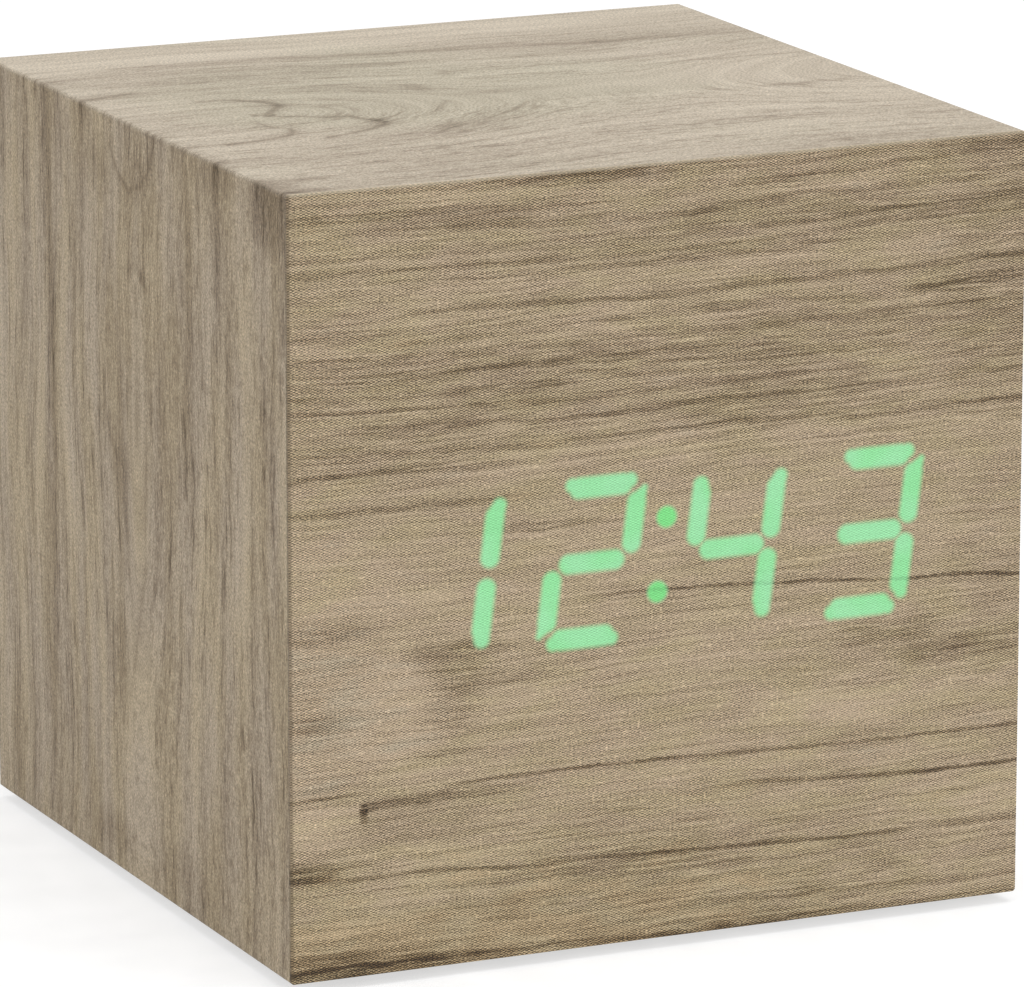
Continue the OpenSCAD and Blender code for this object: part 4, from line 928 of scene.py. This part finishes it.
def spring_path(cell):
    """A cone of turns that starts square to its plate and ends square to its cell."""
    steps = TURN_STEPS * SPRING_TURNS
    turn = 2 * math.pi * SPRING_TURNS
    rise = SPRING_L - 4 * SPRING_WIRE_R
    path = [Vector((0, SPRING_WIDE_R, 0))]
    for i in range(steps + 1):
        share = i / steps
        radius = SPRING_WIDE_R + (SPRING_NARROW_R - SPRING_WIDE_R) * share
        out = 2 * SPRING_WIRE_R + rise * share
        path.append(Vector((out, radius * math.cos(turn * share), radius * math.sin(turn * share))))
    path.append(Vector((SPRING_L, SPRING_NARROW_R, 0)))
    side = 1 if cell % 2 else -1
    middle = Vector((0, (cell - 1) * CELL_PITCH, CELL_Z))
    return [middle + Vector((side * (point.x - PLATE_X), side * point.y, point.z)) for point in path]


def lead_path(start, along, bends, end):
    """A lead on one smooth curve, straight out of its tab and straight into its pad."""
    stations = [start + along * LEAD_STRAIGHT, *bends, end - Vector((0, LEAD_STRAIGHT, 0))]
    path = [start]
    for i in range(len(stations) - 1):
        a, b, c, d = (stations[min(max(i + k, 0), len(stations) - 1)] for k in (-1, 0, 1, 2))
        for k in range(LEAD_STEPS):
            t = k / LEAD_STEPS
            path.append(0.5 * (2 * b + (c - a) * t + (2 * a - 5 * b + 4 * c - d) * t ** 2
                               + (3 * b - a - 3 * c + d) * t ** 3))
    return [*path, stations[-1], end]


def ribbon_path(wire):
    """One wire of the flat cable, which hangs in a shallow curve between its two connectors."""
    low, high = [corner * 1000 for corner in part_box("ribbon_cable")]
    x = ((wire + 0.5) / RIBBON_WIRES - 0.5) * RIBBON_W
    start, end = RIBBON_Z
    path = [Vector((x, low.y, start))]
    for i in range(RIBBON_STEPS + 1):
        t = i / RIBBON_STEPS
        drop = RIBBON_SAG * (1 - math.cos(2 * math.pi * t)) / 2
        height = start + (end - start) * (1 - math.cos(math.pi * t)) / 2 - drop
        y = low.y + RIBBON_SEAT + t * (high.y - low.y - 2 * RIBBON_SEAT)
        path.append(Vector((x, y, height)))
    return [*path, Vector((x, high.y, end))]


red_path = lead_path(
    Vector((-PLATE_X, -CELL_PITCH, TAB_Z)), Vector((1, 0, 0)),
    [Vector((-17, -10.5, 17.5)), Vector((-8, -3, 18.5)), Vector((0, 8, 19.5))],
    Vector((RED_PAD_X, PAD_Y, PAD_Z)))
black_path = lead_path(
    Vector((PLATE_X, CELL_PITCH, TAB_Z)), Vector((-1, 0, 0)),
    [Vector((17, 11.5, 17.5)), Vector((11, 13.5, 18.5))],
    Vector((BLACK_PAD_X, PAD_Y, PAD_Z)))
spring_paths = [spring_path(cell) for cell in range(CELLS)]
ribbon_paths = [ribbon_path(wire) for wire in range(RIBBON_WIRES)]
wire_piece("contact_springs", spring_paths, SPRING_WIRE_R, 10)
wire_piece("red_lead", [red_path], LEAD_R, 12)
wire_piece("black_lead", [black_path], LEAD_R, 12)
wire_piece("ribbon_cable", ribbon_paths, RIBBON_W / RIBBON_WIRES / 2, 10)


# Floor, light and camera
def seen_rays(tree):
    """1 for rays from the camera, a reflection or glass, and 0 for rays that light the clock."""
    path = tree.nodes.new("ShaderNodeLightPath")
    rays = Num(tree, path.outputs["Is Camera Ray"])
    for output in ("Is Glossy Ray", "Is Transmission Ray"):
        rays = rays.most(Num(tree, path.outputs[output]))
    return rays


# Shares of the floor's and the sky's colour that light the clock and that are only seen
FLOOR_LIT = 0.55
FLOOR_SEEN = 0.75
SKY_LIT = 0.55
SKY_SEEN = 0.45
# Side of the floor in metres
FLOOR_SIZE = 8


def floor_material():
    """Plain floor that is seen as white and keeps the clock's shadow."""
    material, tree, shader = new_material("pale_floor")
    x, y, _ = place_mm(tree)
    speck = noise(x * 0.2, y * 0.2, detail=2)
    colour = shades(speck, [(0.3, (232, 232, 232)), (0.7, (236, 236, 236))])
    tree.links.new(vector("SCALE", colour, FLOOR_LIT).socket, shader.inputs["Base Color"])
    shader.inputs["Roughness"].default_value = 0.9
    shader.inputs["Specular IOR Level"].default_value = 0.0
    glow = vector("SCALE", colour, seen_rays(tree) * FLOOR_SEEN)
    tree.links.new(glow.socket, shader.inputs["Emission Color"])
    shader.inputs["Emission Strength"].default_value = 1.0
    return material


bpy.ops.mesh.primitive_plane_add(size=FLOOR_SIZE, location=(0, 0, 0))
floor = bpy.context.object
floor.name = "floor"
floor.data.materials.append(floor_material())

world = bpy.data.worlds.new("studio")
scene.world = world
world.use_nodes = True
sky = world.node_tree.nodes["Background"]
sky.inputs["Color"].default_value = (1, 1, 1, 1)
level = SKY_LIT + seen_rays(world.node_tree) * SKY_SEEN
world.node_tree.links.new(level.socket, sky.inputs["Strength"])


def area_light(name, place, aim, size, power):
    """A square soft box that faces its aim."""
    data = bpy.data.lights.new(name, "AREA")
    data.shape = "SQUARE"
    data.size = size
    data.energy = power
    light = bpy.data.objects.new(name, data)
    light.location = place
    light.rotation_euler = (Vector(aim) - Vector(place)).to_track_quat("-Z", "Y").to_euler()
    scene.collection.objects.link(light)


area_light("overhead", (0.1, -0.15, 0.95), (0, 0, 0.03), 0.9, 5.0)
area_light("front_fill", (0.35, -1.1, 0.45), (0, 0, 0.035), 0.7, 4.6)
area_light("left_fill", (-1.1, 0.1, 0.45), (0, 0, 0.035), 0.7, 2.4)

# The camera looks at the middle of the case from a long way off, places in widths of the case
EYE_TURN = math.radians(-24.352)
EYE_RISE = math.radians(13.459)
EYE_BACK = 10.366
EYE_RIGHT = 0.021
EYE_UP = -0.031
CASE_W = 0.068
CASE_MIDDLE = Vector((0, 0, 0.0345))
PICTURE_W = 1024
FOCAL_PIXELS = 8036.28
SENSOR_W = 36
LEVEL_REACH = math.cos(EYE_RISE)
BACK = Vector((math.sin(EYE_TURN) * LEVEL_REACH, -math.cos(EYE_TURN) * LEVEL_REACH, math.sin(EYE_RISE)))
RIGHT = (-BACK).cross(Vector((0, 0, 1))).normalized()
UP = RIGHT.cross(-BACK)
camera_data = bpy.data.cameras.new("camera")
camera_data.sensor_fit = "HORIZONTAL"
camera_data.sensor_width = SENSOR_W
camera_data.lens = FOCAL_PIXELS * SENSOR_W / PICTURE_W
camera_data.clip_start = 0.05
camera = bpy.data.objects.new("camera", camera_data)
place = CASE_MIDDLE + CASE_W * (BACK * EYE_BACK + RIGHT * EYE_RIGHT + UP * EYE_UP)
turn = Matrix((RIGHT, UP, BACK)).transposed().to_4x4()
camera.matrix_world = Matrix.Translation(place) @ turn
scene.collection.objects.link(camera)
scene.camera = camera
